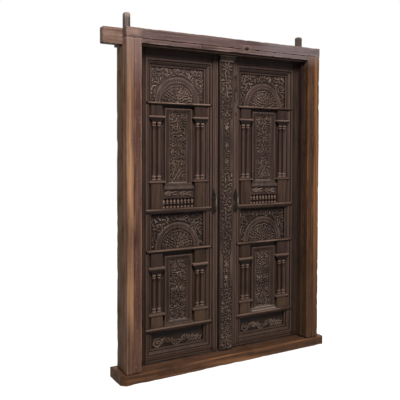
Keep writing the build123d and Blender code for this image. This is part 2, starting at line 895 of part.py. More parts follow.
    # A forged pull: a bow in front of a leaf-shaped plate
    pull_x = side * (meeting_margin - pull_margin)
    with BuildPart() as pull_handle:
        plate_front = reed_front - plate_thickness
        waist = plate_width / 2 * plate_waist_share
        with BuildSketch(face_at(reed_front)):
            with BuildLine():
                Polyline(
                    (pull_x, pull_height + plate_length / 2),
                    (pull_x + plate_width / 2, pull_height + pull_length / 2),
                    (pull_x + waist, pull_height),
                    (pull_x + plate_width / 2, pull_height - pull_length / 2),
                    (pull_x, pull_height - plate_length / 2),
                    (pull_x - plate_width / 2, pull_height - pull_length / 2),
                    (pull_x - waist, pull_height),
                    (pull_x - plate_width / 2, pull_height + pull_length / 2),
                    close=True,
                )
            make_face()
        extrude(amount=plate_thickness)
        bow_back = plate_front - middle_depth
        bow_front = bow_back - pull_reach
        bow_low = pull_height - pull_length / 2
        bow_high = pull_height + pull_length / 2
        with BuildSketch(Plane.YZ.offset(pull_x)):
            with BuildLine():
                Polyline(
                    (bow_back, bow_low),
                    (bow_front + pull_corner, bow_low),
                    (bow_front, bow_low + pull_corner),
                    (bow_front, bow_high - pull_corner),
                    (bow_front + pull_corner, bow_high),
                    (bow_back, bow_high),
                    (bow_back, bow_high - pull_bar),
                    (bow_front + pull_corner, bow_high - pull_bar),
                    (bow_front + pull_bar, bow_high - pull_corner),
                    (bow_front + pull_bar, bow_low + pull_corner),
                    (bow_front + pull_corner, bow_low + pull_bar),
                    (bow_back, bow_low + pull_bar),
                    close=True,
                )
            make_face()
        extrude(amount=pull_bar / 2, both=True)
    keep(pull_handle, f"{side_name}_pull_handle")

# Carved cover strip on the right leaf's meeting edge
astragal_front = leaf_front - astragal_thickness
astragal_middle = right_meeting_edge + astragal_width / 2
with BuildPart() as astragal:
    ground = astragal_front + astragal_ground
    strip_top = trim_top - cap_height
    slab(astragal_middle, astragal_width, leaf_bottom, strip_top, ground, leaf_front)
    strip_height = strip_top - leaf_bottom
    stretches = (
        (wide_stretch_shares, astragal_fillet, astragal_leaf, astragal_leaf_width),
        (narrow_stretch_shares, narrow_fillet, narrow_leaf, narrow_leaf_width),
    )
    for stretch_shares, fillet_width, leaf, leaf_width in stretches:
        for low_share, high_share in stretch_shares:
            low = leaf_bottom + low_share * strip_height
            high = leaf_bottom + high_share * strip_height
            for hand in (1, -1):
                fillet_x = astragal_middle + hand * (astragal_width - fillet_width) / 2
                slab(fillet_x, fillet_width, low, high, astragal_front, ground)
            vine = vine_rows(astragal_middle, low, high, leaf, leaf_width, astragal_pitch)
            slab(astragal_middle, vine_stem, low, high, astragal_front, ground)
            carve_leaves(ground, vine, astragal_ground)
    rosette_height = leaf_bottom + rosette_share * strip_height
    carve_leaves(ground, rosette_rows(astragal_middle, rosette_height), astragal_ground)
keep(astragal, "astragal")

with BuildPart() as astragal_cap:
    cap_width = astragal_width + cap_reach
    cap_middle = right_meeting_edge + cap_width / 2
    slab(cap_middle, cap_width, trim_top - cap_height, trim_top, astragal_front - cap_proud, reed_front)
    slab(astragal_middle, astragal_width, trim_top - cap_height, trim_top, reed_front, leaf_front)
keep(astragal_cap, "astragal_cap")

# Door chain: a staple in the reeds and three long links
chain_x = right_meeting_edge + astragal_width + chain_margin
staple_front = reed_front - staple_reach
bar_depth = staple_front + staple_bar / 2
with BuildPart() as chain_staple:
    for hand in (1, -1):
        prong_x = chain_x + hand * (staple_width - staple_bar) / 2
        with BuildSketch(face_at(reed_front)):
            with Locations((prong_x, staple_height)):
                RegularPolygon(staple_bar / 2, forged_sides)
        extrude(amount=reed_front - bar_depth)
    with BuildSketch(Plane.YZ.offset(chain_x)):
        with Locations((bar_depth - middle_depth, staple_height)):
            RegularPolygon(staple_bar / 2, forged_sides)
    extrude(amount=staple_width / 2, both=True)
keep(chain_staple, "chain_staple")

link_top = staple_height + staple_bar / 2 + seat_gap + link_bar
link_step = link_length - 2 * link_bar - link_play
half_wide = (link_width - link_bar) / 2
half_long = (link_length - link_bar) / 2
link_route = (
    (half_wide, 0),
    (half_wide, half_long - link_corner),
    (half_wide - link_corner, half_long),
    (link_corner - half_wide, half_long),
    (-half_wide, half_long - link_corner),
    (-half_wide, link_corner - half_long),
    (link_corner - half_wide, -half_long),
    (half_wide - link_corner, -half_long),
    (half_wide, link_corner - half_long),
    (half_wide, 0),
)
link_rows = (("upper", (0, 1, 0)), ("middle", (1, 0, 0)), ("lower", (0, 1, 0)))
for number, (link_name, across) in enumerate(link_rows):
    link_middle = link_top - link_length / 2 - number * link_step
    link_origin = (chain_x, bar_depth - middle_depth, link_middle)
    link_plane = Plane(link_origin, x_dir=across, z_dir=Vector(across).cross(Vector(0, 0, 1)))
    with BuildPart() as chain_link:
        with BuildLine(link_plane) as route:
            Polyline(*link_route)
        bar_plane = Plane(route.line @ 0, x_dir=across, z_dir=(0, 0, 1))
        with BuildSketch(bar_plane):
            RegularPolygon(link_bar / 2, forged_sides)
        sweep(path=route.wires()[0], transition=Transition.RIGHT)
    keep(chain_link, f"chain_link_{link_name}")
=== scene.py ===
import math

import bpy
import numpy as np
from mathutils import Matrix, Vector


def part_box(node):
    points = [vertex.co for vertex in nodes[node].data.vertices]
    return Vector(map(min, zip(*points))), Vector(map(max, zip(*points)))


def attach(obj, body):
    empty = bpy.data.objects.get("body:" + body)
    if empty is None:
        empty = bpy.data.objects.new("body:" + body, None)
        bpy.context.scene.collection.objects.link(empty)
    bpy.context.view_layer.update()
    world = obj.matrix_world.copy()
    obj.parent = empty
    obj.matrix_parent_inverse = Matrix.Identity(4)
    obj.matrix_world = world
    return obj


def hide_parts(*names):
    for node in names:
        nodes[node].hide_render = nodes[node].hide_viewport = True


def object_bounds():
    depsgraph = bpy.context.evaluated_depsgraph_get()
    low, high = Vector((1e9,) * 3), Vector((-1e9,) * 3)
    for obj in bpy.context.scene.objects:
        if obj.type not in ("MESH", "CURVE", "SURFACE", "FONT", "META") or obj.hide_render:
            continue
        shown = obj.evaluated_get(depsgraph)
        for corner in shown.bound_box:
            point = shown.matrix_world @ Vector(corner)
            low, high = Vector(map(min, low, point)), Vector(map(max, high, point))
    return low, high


# Looks of a carved double-leaf door in its frame.
# Lengths are in millimetres until a mesh is made, and then in metres.
# X runs along the wall, Y goes through it to the back, Z is up.

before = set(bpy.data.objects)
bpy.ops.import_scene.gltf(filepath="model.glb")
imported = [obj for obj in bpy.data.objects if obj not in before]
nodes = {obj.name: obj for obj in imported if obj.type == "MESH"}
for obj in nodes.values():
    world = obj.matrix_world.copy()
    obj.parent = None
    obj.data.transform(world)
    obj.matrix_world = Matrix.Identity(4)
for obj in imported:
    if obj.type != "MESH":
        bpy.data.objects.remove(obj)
cad_low, cad_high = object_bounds()
MM = 0.001
TURN = 2 * math.pi


def node_box(name):
    """The lowest and highest corner of a solid, in millimetres."""
    low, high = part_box(name)
    return np.array(low) / MM, np.array(high) / MM


# Surface helpers
def smooth_step(start, end, value):
    """Rises from 0 at start to 1 at end along 3t squared less 2t cubed."""
    t = np.clip((value - start) / (end - start), 0, 1)
    return t * t * (3 - 2 * t)


def bead(distance, half):
    """A half-round ridge: the root of one less the squared share of its half width."""
    return np.sqrt(np.clip(1 - (distance / half) ** 2, 0, 1))


def wander(a, b, seed, waves=7):
    """Soft unevenness from -1 to 1: a mean of sine waves with chosen directions and lengths."""
    dice = np.random.default_rng(seed)
    total = np.zeros(np.broadcast(a, b).shape)
    for _ in range(waves):
        pull_a, pull_b = dice.normal(size=2)
        total = total + np.sin(pull_a * a + pull_b * b + dice.uniform(0, TURN))
    return total / math.sqrt(waves)


def board_shape(x_line, z_line, front, back, wear):
    """A board whose front is the height field front(z, x); its walls run back to one flat face."""
    rows, columns = len(z_line), len(x_line)
    x, z = np.meshgrid(x_line, z_line)
    face = np.stack([x, front, z], axis=-1).reshape(-1, 3)
    index = np.arange(rows * columns).reshape(rows, columns)
    rim = np.concatenate([index[0, :-1], index[:-1, -1], index[-1, :0:-1], index[:0:-1, 0]])
    rear = face[rim].copy()
    rear[:, 1] = back
    rear_rim = rows * columns + np.arange(len(rim))
    quads = np.stack([index[:-1, :-1], index[:-1, 1:], index[1:, 1:], index[1:, :-1]], axis=-1)
    walls = np.stack([rim, rear_rim, np.roll(rear_rim, -1), np.roll(rim, -1)], axis=-1)
    points = np.concatenate([face, rear])
    shades = np.concatenate([wear.reshape(-1), np.zeros(len(rim))])
    return points, np.concatenate([quads.reshape(-1, 4), walls]), [rear_rim[::-1]], shades


def tube_shape(rings, wear, closed_path=False):
    """Rings of equal point count joined one after the other; open ends get one flat face each."""
    count, around = rings.shape[:2]
    index = np.arange(count * around).reshape(count, around)
    if closed_path:
        index = np.concatenate([index, index[:1]])
    near, far = index[:-1], index[1:]
    quads = np.stack([near, np.roll(near, -1, 1), np.roll(far, -1, 1), far], axis=-1).reshape(-1, 4)
    caps = [] if closed_path else [index[0, ::-1], index[-1]]
    points = rings.reshape(-1, 3)
    a, b, c = points[quads[:, 0]], points[quads[:, 1]], points[quads[:, 2]]
    middle = points.mean(axis=0)
    if np.einsum("ij,ij->i", np.cross(b - a, c - a), (a + c) / 2 - middle).sum() < 0:
        quads = quads[:, ::-1]
        caps = [cap[::-1] for cap in caps]
    return points, quads, caps, wear.reshape(-1)


def lathe_shape(x, y, heights, radii, plain_radius, rub_and_sheen=0.65, around=14):
    """A turned piece: a radius at each height, carried round an upright axis.

    What stands out past the plain radius is rubbed light, partly a painted highlight; necks and the side
    towards the boards get painted shade, and the front a painted highlight.
    """
    angle = np.linspace(0, TURN, around, endpoint=False)
    heights, radii = np.array(heights)[:, None], np.array(radii)[:, None]
    rings = np.stack([x + radii * np.cos(angle), y + radii * np.sin(angle), heights + 0 * angle], axis=-1)
    wear = rub_and_sheen * smooth_step(plain_radius, plain_radius + 2.5, radii)
    # Painted shade on the necks, a painted highlight on the front and painted shade on the side towards the
    # boards
    wear = wear - 0.7 * smooth_step(plain_radius - 0.6, plain_radius - 1.4, radii)
    wear = wear + 0.16 * np.clip(-np.sin(angle), 0, 1) ** 2 - 0.5 * np.clip(np.sin(angle) + 0.2, 0, 1)
    return tube_shape(rings, wear)


def bent_bar(path, side, radii, wear, closed_path=False, around=8):
    """A round bar along a path in one plane: rings square to the run, a radius and a wear at each point."""
    path, side = np.array(path, float), np.array(side, float)
    if closed_path:
        run = np.roll(path, -1, 0) - np.roll(path, 1, 0)
    else:
        run = np.gradient(path, axis=0)
    run /= np.linalg.norm(run, axis=1, keepdims=True)
    across = np.cross(run, side)
    angle = np.linspace(0, TURN, around, endpoint=False)[None, :, None]
    spoke = np.cos(angle) * across[:, None] + np.sin(angle) * side[None, None]
    rings = path[:, None] + np.broadcast_to(radii, (len(path),))[:, None, None] * spoke
    shades = np.broadcast_to(np.reshape(wear, (-1, 1)), rings.shape[:2])
    return tube_shape(rings, shades.copy(), closed_path)


def rounded_loop(corners, rounding, step):
    """A closed outline: each corner becomes a parabola arc, and long runs are divided at a step."""
    corner = np.array(corners, float)
    before, after = np.roll(corner, 1, 0) - corner, np.roll(corner, -1, 0) - corner
    length_before = np.linalg.norm(before, axis=1, keepdims=True)
    length_after = np.linalg.norm(after, axis=1, keepdims=True)
    reach = np.minimum(rounding, 0.45 * np.minimum(length_before, length_after))
    start, end = corner + before / length_before * reach, corner + after / length_after * reach
    t = np.linspace(0, 1, 5)[None, :, None]
    arcs = (1 - t) ** 2 * start[:, None] + 2 * t * (1 - t) * corner[:, None] + t**2 * end[:, None]
    loop = arcs.reshape(-1, 2)
    closed = np.concatenate([loop, loop[:1]])
    run = np.concatenate([[0], np.cumsum(np.linalg.norm(np.diff(closed, axis=0), axis=1))])
    places = np.unique(np.round(np.concatenate([run[:-1], np.arange(0, run[-1], step)]), 3))
    places = places[places < run[-1] - 0.01]
    points = np.stack([np.interp(places, run, closed[:, 0]), np.interp(places, run, closed[:, 1])], -1)
    gap = np.abs(places[:, None] - run[2:-1:5][None, :])
    edge = np.exp(-((np.minimum(gap, run[-1] - gap).min(axis=1) / 7) ** 2))
    return points, places, edge


def timber_shape(corners, axis, start, end, seed, rounding=4, dents=1.0, chips=2.5, step=7, stride=11):
    """A worn beam: a rounded outline along X or Z, pressed in by soft dents and by chips at its edges."""
    outline, places, edge = rounded_loop(corners, rounding, step)
    tangent = np.roll(outline, -1, 0) - np.roll(outline, 1, 0)
    normal = np.stack([tangent[:, 1], -tangent[:, 0]], -1)
    normal /= np.linalg.norm(normal, axis=1, keepdims=True)
    area = np.sum(outline[:, 0] * np.roll(outline[:, 1], -1) - np.roll(outline[:, 0], -1) * outline[:, 1])
    normal *= np.sign(area)
    stations = np.linspace(start, end, max(3, int(abs(end - start) / stride)))
    along, across = stations[:, None], places[None, :]
    dent = dents * (wander(along / 90, across / 14, seed) - 1.1)
    bite = chips * edge * np.clip(wander(along / 26, across / 40, seed + 1) - 0.2, 0, 1.6)
    inset = np.minimum(dent, 0) * 0.6 - bite
    plan = outline[None] + normal[None] * inset[..., None]
    sides = [plan[..., 0], plan[..., 1]]
    sides.insert(2 if axis == "z" else 0, np.broadcast_to(along, plan.shape[:2]))
    wear = np.clip(0.75 * edge * (0.55 + 0.45 * wander(along / 60, across / 30, seed + 2)), 0, 1)
    return np.stack(sides, -1), wear


def show(name, data):
    """Put a mesh, lamp or camera into the scene."""
    thing = bpy.data.objects.new(name, data)
    bpy.context.scene.collection.objects.link(thing)
    return thing


def add_piece(prefix, node, shapes, body, finish, smooth=True):
    """One mesh from several shapes in the place of a solid, on a body, with a wear value at each point that
    also holds painted shade and painted highlights.
    """
    points, faces, sizes, shades, offset = [], [], [], [], 0
    for shape_points, quads, ngons, wear in shapes:
        points.append(shape_points)
        shades.append(wear)
        faces.append((quads + offset).reshape(-1))
        sizes.append(np.full(len(quads), 4))
        for ngon in ngons:
            faces.append(np.asarray(ngon) + offset)
            sizes.append([len(ngon)])
        offset += len(shape_points)
    sizes, corners = np.concatenate(sizes), np.concatenate(faces).astype(np.int32)
    name = f"{prefix}_{node}"
    mesh = bpy.data.meshes.new(name)
    mesh.vertices.add(offset)
    mesh.vertices.foreach_set("co", (np.concatenate(points) * MM).astype(np.float32).reshape(-1))
    mesh.loops.add(len(corners))
    mesh.loops.foreach_set("vertex_index", corners)
    mesh.polygons.add(len(sizes))
    mesh.polygons.foreach_set("loop_start", np.concatenate([[0], np.cumsum(sizes)[:-1]]).astype(np.int32))
    mesh.polygons.foreach_set("use_smooth", np.full(len(sizes), smooth) & (sizes == 4))
    mesh.update(calc_edges=True)
    mesh.validate()
    shade = mesh.attributes.new("wear", "FLOAT", "POINT")
    shade.data.foreach_set("value", np.concatenate(shades).astype(np.float32))
    mesh.materials.append(finish)
    piece = show(name, mesh)
    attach(piece, body)
    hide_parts(node)


# Finishes, with colours as red, green and blue from 0 to 255
def tone(red, green, blue):
    """A colour in display values from 0 to 255, as linear light."""
    share = np.array([red, green, blue]) / 255
    linear = np.where(share <= 0.04045, share / 12.92, ((share + 0.055) / 1.055) ** 2.4)
    return (*linear.tolist(), 1.0)


def feed(tree, value, socket):
    """Link a socket to another one, or set it to a constant."""
    if isinstance(value, bpy.types.NodeSocket):
        tree.links.new(value, socket)
    else:
        socket.default_value = value


def add_node(tree, kind, **values):
    """A shader node whose sockets are fed with other sockets or constants."""
    made = tree.nodes.new(kind)
    for socket, value in values.items():
        feed(tree, value, made.inputs[socket])
    return made


def blend(tree, factor, first, second):
    """Mix two colours by a factor, each a socket or a constant."""
    mixer = tree.nodes.new("ShaderNodeMix")
    mixer.data_type = "RGBA"
    for socket, value in ((0, factor), (6, first), (7, second)):
        feed(tree, value, mixer.inputs[socket])
    return mixer.outputs[2]


def band(tree, value, low, high, to_low=0.0, to_high=1.0):
    """A value read between two bounds as a share."""
    bounds = {"From Min": low, "From Max": high, "To Min": to_low, "To Max": to_high}
    return add_node(tree, "ShaderNodeMapRange", Value=value, **bounds).outputs["Result"]


def lay(tree, colour, over, value, start, end, share=1.0):
    """Lay a colour over another one where a value runs from a start to an end, by a share."""
    return blend(tree, band(tree, value, start, end, 0.0, share), colour, tone(*over))


def streaks(tree, place, stretch, scale, detail=5.0, distortion=0.3):
    """Noise on object coordinates, drawn out along the grain."""
    drawn_out = add_node(tree, "ShaderNodeMapping", Vector=place, Scale=stretch).outputs["Vector"]
    kind = {"Scale": scale, "Detail": detail, "Roughness": 0.6, "Distortion": distortion}
    return add_node(tree, "ShaderNodeTexNoise", Vector=drawn_out, **kind).outputs[0]


def math_step(tree, operation, first, second=0.0):
    """One sum on two values, each a socket or a constant."""
    made = tree.nodes.new("ShaderNodeMath")
    made.operation = operation
    feed(tree, first, made.inputs[0])
    feed(tree, second, made.inputs[1])
    return made.outputs[0]


def new_finish(name):
    """A new material, its node tree, its shader and its texture coordinates."""
    material = bpy.data.materials.new(name)
    material.use_nodes = True
    tree = material.node_tree
    return material, tree, tree.nodes["Principled BSDF"], tree.nodes.new("ShaderNodeTexCoord").outputs


def point_wear_and_shade(tree):
    """The value of the wear attribute at each point, which carries wear and painted light: above 0 it is
    rubbed light and on some pieces a painted highlight; below 0 it is dirty and on many pieces painted
    shade.
    """
    wear = tree.nodes.new("ShaderNodeAttribute")
    wear.attribute_name = "wear"
    return wear.outputs["Fac"]


def surface(tree, shader, colour, roughness, specular, bumps):
    """Feed a shader, with bumps as rows of height, strength and depth, one over the other."""
    feed(tree, colour, shader.inputs["Base Color"])
    feed(tree, roughness, shader.inputs["Roughness"])
    feed(tree, specular, shader.inputs["Specular IOR Level"])
    end = shader.inputs["Normal"]
    for height, strength, depth in bumps:
        bump = add_node(tree, "ShaderNodeBump", Height=height, Strength=strength, Distance=depth)
        feed(tree, bump.outputs[0], end)
        end = bump.inputs["Normal"]


ALONG_X, ALONG_Z = (0.05, 1.0, 1.0), (1.0, 1.0, 0.05)
EVEN, UPRIGHT_PATCH = (1.0, 1.0, 1.0), (1.0, 1.0, 0.6)
# UNDERSIDE_SHADE is painted shade on faces that look down; CHIP is the colour of pale chips
UNDERSIDE_SHADE, CHIP = (24, 17, 14), (196, 176, 156)
# A recess gets painted shade by a share, with soft edges, and only in front of a depth in the leaf
RECESS_SHADE_SHARE, RECESS_EDGE, FRONT_END, FRONT_FULL = 0.8, 0.003, 0.042, 0.036


def wood_finish(
    name, dark, light, worn, soil_and_shade, grain=ALONG_Z, low_tint=None, gloss=0.6, films=(), flecks=0.0,
    recesses=(), patina=None,
):
    """Old wood: streaked grain and dusty blotches, rubbed light where wear is above 0, which on some pieces
    is a painted highlight, and dirty where it is below, which on many pieces is painted shade.

    A film is a colour that sets in along one axis (0 for X, 2 for Z) between two places by a share.
    Flecks are pale chips, and patina is a second colour in wide patches.
    A shaded recess is an area on the front of both leaves painted with shade: distance from the door's
    middle, half width, two heights, and how soft its lower edge is. Faces that look down are painted dark as
    shade.
    """
    material, tree, shader, sources = new_finish(name)
    place = sources["Object"]
    axes = add_node(tree, "ShaderNodeSeparateXYZ", Vector=place).outputs
    facing = add_node(tree, "ShaderNodeSeparateXYZ", Vector=sources["Normal"]).outputs
    coarse = streaks(tree, place, grain, 60.0)
    fine = streaks(tree, place, grain, 260.0, 3.0)
    patches = streaks(tree, place, UPRIGHT_PATCH, 9.0, 4.0)
    colour = blend(tree, band(tree, coarse, 0.32, 0.68), tone(*dark), tone(*light))
    if low_tint:
        colour = lay(tree, colour, low_tint, axes[2], 1.5, 0.15, 0.65)
    if patina:
        wide_patches = streaks(tree, place, UPRIGHT_PATCH, 4.5, 3.0, 0.6)
        colour = lay(tree, colour, patina, wide_patches, 0.48, 0.62, 0.55)
    colour = lay(tree, colour, soil_and_shade, patches, 0.52, 0.74, 0.55)
    wear = point_wear_and_shade(tree)
    # Rubbed light by wear above 0, partly a painted highlight
    rubbed_and_highlit = math_step(tree, "MULTIPLY", wear, band(tree, coarse, 0.25, 0.6, 0.45, 1.0))
    colour = blend(tree, rubbed_and_highlit, colour, tone(*worn))
    # Darkened by wear below 0: dirt, and painted shade where the pieces set it
    colour = lay(tree, colour, soil_and_shade, wear, 0.0, -1.0)
    colour = lay(tree, colour, soil_and_shade, fine, 0.62, 0.72, 0.5)
    for film, axis, start, end, share in films:
        colour = lay(tree, colour, film, axes[axis], start, end, share)
    # Painted shade in each recess, in the soil colour
    for middle, half, low, high, softness in recesses:
        away = math_step(tree, "SUBTRACT", math_step(tree, "ABSOLUTE", axes[0]), middle)
        away = math_step(tree, "ABSOLUTE", away)
        shade_share = band(tree, away, half + RECESS_EDGE, half - RECESS_EDGE, 0.0, RECESS_SHADE_SHARE)
        for axis, start, end in (
            (2, low - softness, low + softness), (2, high + RECESS_EDGE, high - RECESS_EDGE),
            (1, FRONT_END, FRONT_FULL),
        ):
            shade_share = math_step(tree, "MULTIPLY", shade_share, band(tree, axes[axis], start, end))
        colour = blend(tree, shade_share, colour, tone(*soil_and_shade))
    # Painted shade on faces that look down
    colour = lay(tree, colour, UNDERSIDE_SHADE, facing[2], -0.5, -0.9, 0.85)
    if flecks:
        spots = streaks(tree, place, (1.0, 1.0, 0.45), 150.0, 2.0, 0.8)
        colour = lay(tree, colour, CHIP, spots, 0.7, 0.74, flecks)
    roughness = band(tree, patches, 0.3, 0.7, gloss - 0.12, gloss + 0.14)
    surface(tree, shader, colour, roughness, 0.1, ((coarse, 0.3, 0.003), (fine, 0.35, 0.0012)))
    return material


def iron_finish(name):
    """Forged iron: near black with brown rust in patches, bright where its wear is above 0, which is rubbed
    by hands and partly a painted highlight, and a hammered bump.
    """
    material, tree, shader, sources = new_finish(name)
    patches = streaks(tree, sources["Object"], EVEN, 55.0)
    hammer = streaks(tree, sources["Object"], EVEN, 190.0, 2.0)
    colour = blend(tree, band(tree, patches, 0.45, 0.65), tone(25, 20, 18), tone(48, 37, 32))
    colour = blend(tree, point_wear_and_shade(tree), colour, tone(184, 172, 160))
    surface(tree, shader, colour, band(tree, patches, 0.4, 0.7, 0.4, 0.75), 0.07, ((hammer, 0.5, 0.002),))
    return material


# LEAF_SOIL_AND_SHADE is the dark of dirt, and also of painted shade in recesses, crevices and under ledges
LEAF_DARK, LEAF_LIGHT, LEAF_WORN, LEAF_SOIL_AND_SHADE = (37, 26, 23), (66, 48, 42), (128, 104, 91), (26, 18, 15)
LEAF_PATINA, LEAF_LOW = (58, 43, 32), (56, 40, 31)
# CARVED_WORN_AND_HIGHLIGHT is the colour of rubbed crests, which also stands for painted highlights on the
# carving
CARVED_DARK, CARVED_LIGHT, CARVED_WORN_AND_HIGHLIGHT = (43, 31, 28), (69, 51, 45), (172, 146, 128)
# Painted shadow of the head across the top of the leaves, setting in from 2.03 m up to 2.11 m
HEAD_SHADOW_FILM = (LEAF_SOIL_AND_SHADE, 2, 2.03, 2.11, 0.75)
LEAF_MIDDLE = 0.3556
# Two lines of painted shade along the foot of both leaves
FOOT_SHADE_LINES = ((LEAF_MIDDLE, 0.42, 0.09, 0.098, 0.0015), (LEAF_MIDDLE, 0.42, 0.06, 0.08, 0.002))
# Painted shade on the boards: behind the spindles, and painted shadow under the ledges above the columns
BOARD_SHADE = (
    (LEAF_MIDDLE, 0.117, 1.095, 1.16, 0.003), (LEAF_MIDDLE, 0.26, 0.775, 0.81, 0.02),
    (LEAF_MIDDLE, 0.26, 1.757, 1.79, 0.02),
)


def leaf_finish(name, grain=ALONG_Z, worn=LEAF_WORN, **marks_and_shade):
    """The dark wood of the leaves, with films, patina and painted shade of its own."""
    return wood_finish(name, LEAF_DARK, LEAF_LIGHT, worn, LEAF_SOIL_AND_SHADE, grain, LEAF_LOW, **marks_and_shade)


leaf_upright = leaf_finish("leaf_wood_upright", films=[HEAD_SHADOW_FILM], recesses=FOOT_SHADE_LINES, patina=LEAF_PATINA)
leaf_level = leaf_finish("leaf_wood_level", ALONG_X, films=[HEAD_SHADOW_FILM], patina=LEAF_PATINA)
board_wood = leaf_finish("board_wood", recesses=BOARD_SHADE, patina=LEAF_PATINA)
niche_wood = leaf_finish("niche_wood", worn=(190, 172, 158), patina=LEAF_PATINA)
rail_wood = leaf_finish(
    "rail_wood", ALONG_X, films=[HEAD_SHADOW_FILM, ((94, 73, 62), 2, 0.15, 0.1, 0.5)], recesses=FOOT_SHADE_LINES
)
carved_woods = {
    side: wood_finish(
        f"{side}_carved_wood", CARVED_DARK, CARVED_LIGHT, CARVED_WORN_AND_HIGHLIGHT, LEAF_SOIL_AND_SHADE, low_tint=(48, 36, 29),
        gloss=0.5, films=[((116, 97, 91), 2, 1.78, 1.9, dust)], patina=(64, 49, 38),
    )
    for side, dust in (("left", 0.16), ("right", 0.03))
}
strip_wood = wood_finish(
    "strip_wood", (38, 28, 25), (59, 44, 39), CARVED_WORN_AND_HIGHLIGHT, LEAF_SOIL_AND_SHADE, low_tint=(46, 34, 28), gloss=0.5,
    patina=(56, 42, 33),
)
left_casing_wood = wood_finish(
    "left_casing_wood", (66, 43, 37), (100, 71, 62), (168, 125, 90), (42, 28, 24),
    films=[((130, 106, 98), 2, 1.85, 2.2, 0.7)], flecks=0.7,
)
# The right casing's dark base colour is painted shade on its sides; its worn front, set further down, is
# partly painted light
right_casing_wood = wood_finish(
    "right_casing_wood", (50, 34, 25), (82, 56, 40), (147, 98, 60), (32, 22, 17),
    films=[((124, 102, 94), 2, 2.1, 2.19, 0.8), ((78, 54, 40), 2, 0.8, 0.15, 0.55)], flecks=0.4,
)
head_wood = wood_finish(
    "head_wood", (69, 52, 50), (107, 86, 83), (152, 124, 110), (44, 31, 27), ALONG_X,
    films=[((142, 133, 134), 0, 0.18, 0.36, 0.3)], flecks=0.6,
)
# Lit and shaded copies of the jambs' wood: the left copy is lightened as painted light, the right copy
# darkened as painted shade in the reveal
left_jamb_lit_wood = wood_finish("left_jamb_lit_wood", (62, 43, 29), (108, 77, 48), (138, 101, 66), (36, 25, 17))
right_jamb_shaded_wood = wood_finish(
    "right_jamb_shaded_wood", (30, 20, 18), (51, 36, 32), (86, 62, 48), (22, 15, 12), low_tint=(68, 51, 34)
)
rear_wood = wood_finish("rear_wood", (52, 37, 29), (86, 62, 48), (116, 88, 68), (34, 25, 20), ALONG_X)
horn_wood = wood_finish(
    "horn_wood", (90, 68, 57), (136, 109, 94), (170, 143, 126), (52, 38, 32), ALONG_X, flecks=0.3
)
sill_wood = wood_finish("sill_wood", (61, 41, 30), (102, 70, 50), (152, 106, 70), (36, 25, 20), ALONG_X)
post_wood = wood_finish(
    "post_wood", (62, 52, 48), (108, 94, 88), (150, 132, 122), (40, 31, 28),
    films=[((164, 148, 136), 2, 2.335, 2.36, 0.6), ((42, 30, 26), 2, 2.25, 2.2, 0.85)],
)
pedestal_wood = wood_finish(
    "pedestal_wood", (42, 31, 25), (76, 57, 45), LEAF_WORN, LEAF_SOIL_AND_SHADE,
    films=[((98, 75, 57), 2, 0.46, 0.38, 0.3)],
)
forged_iron = iron_finish("forged_iron")


# Carving
class Relief:
    """A carved face as a grid of heights from 0 for the ground to 1 for the crest, each with a polish that
    rubs the crest light, partly as a painted glint.
    """

    def __init__(self, x_line, z_line):
        self.x_line, self.z_line = x_line, z_line
        self.x, self.z = np.meshgrid(x_line, z_line)
        self.height = np.zeros(self.x.shape)
        self.polish_and_glint = np.zeros(self.x.shape)

    def raise_to(self, height, polish_and_glint, window=np.s_[:, :]):
        """Raise a window of the face to a height field where that is the higher one."""
        now = self.height[window]
        self.polish_and_glint[window] = np.where(height > now, polish_and_glint, self.polish_and_glint[window])
        self.height[window] = np.maximum(now, height)

    def stamp(self, x_place, z_place, reach, polish_and_glint, shape, *sizes):
        """Raise the face to a small shape of given sizes, worked out only near its place."""
        left, right = np.searchsorted(self.x_line, (x_place - reach, x_place + reach))
        low, high = np.searchsorted(self.z_line, (z_place - reach, z_place + reach))
        if right > left and high > low:
            window = (slice(low, high), slice(left, right))
            made = shape(self.x[window] - x_place, self.z[window] - z_place, *sizes)
            self.raise_to(made, polish_and_glint, window)

    def keep_inside(self, share):
        """Sink the face to its ground by a share field."""
        self.height *= share


def knob(x, z, radius):
    """A round dome."""
    return bead(np.hypot(x, z), radius)


def leaf(x, z, angle, length, width, bend, lift=1.0):
    """A carved leaf: a bent, lobed outline, domed across, with a cut along its middle."""
    along = (x * math.cos(angle) + z * math.sin(angle)) / length
    across = z * math.cos(angle) - x * math.sin(angle) - bend * length * along**2
    inside = np.clip(along, 0, 1)
    lobes = 0.84 + 0.16 * np.cos(6 * math.pi * inside)
    half = width / 2 * np.sin(math.pi * inside**0.7) * lobes + 0.01
    dome = bead(across, half) * (along > 0) * (along < 1)
    return lift * (dome * (0.62 + 0.38 * smooth_step(0.0, 0.16 * width, np.abs(across))))


def curl(x, z, radius, hand, start, lobes=0.12):
    """A leaf scroll: a spiral ridge round an eye, with lobes on its rim."""
    angle = np.arctan2(z, x * hand) - start
    share = np.hypot(x, z) / (radius * (1 + lobes * np.cos(5 * angle)))
    arm = (1.7 * share + angle / TURN) % 1.0
    ridge = bead(arm - 0.5, 0.44) * (0.65 + 0.35 * share) * smooth_step(1.04, 0.92, share)
    return np.maximum(ridge, bead(share, 0.24))


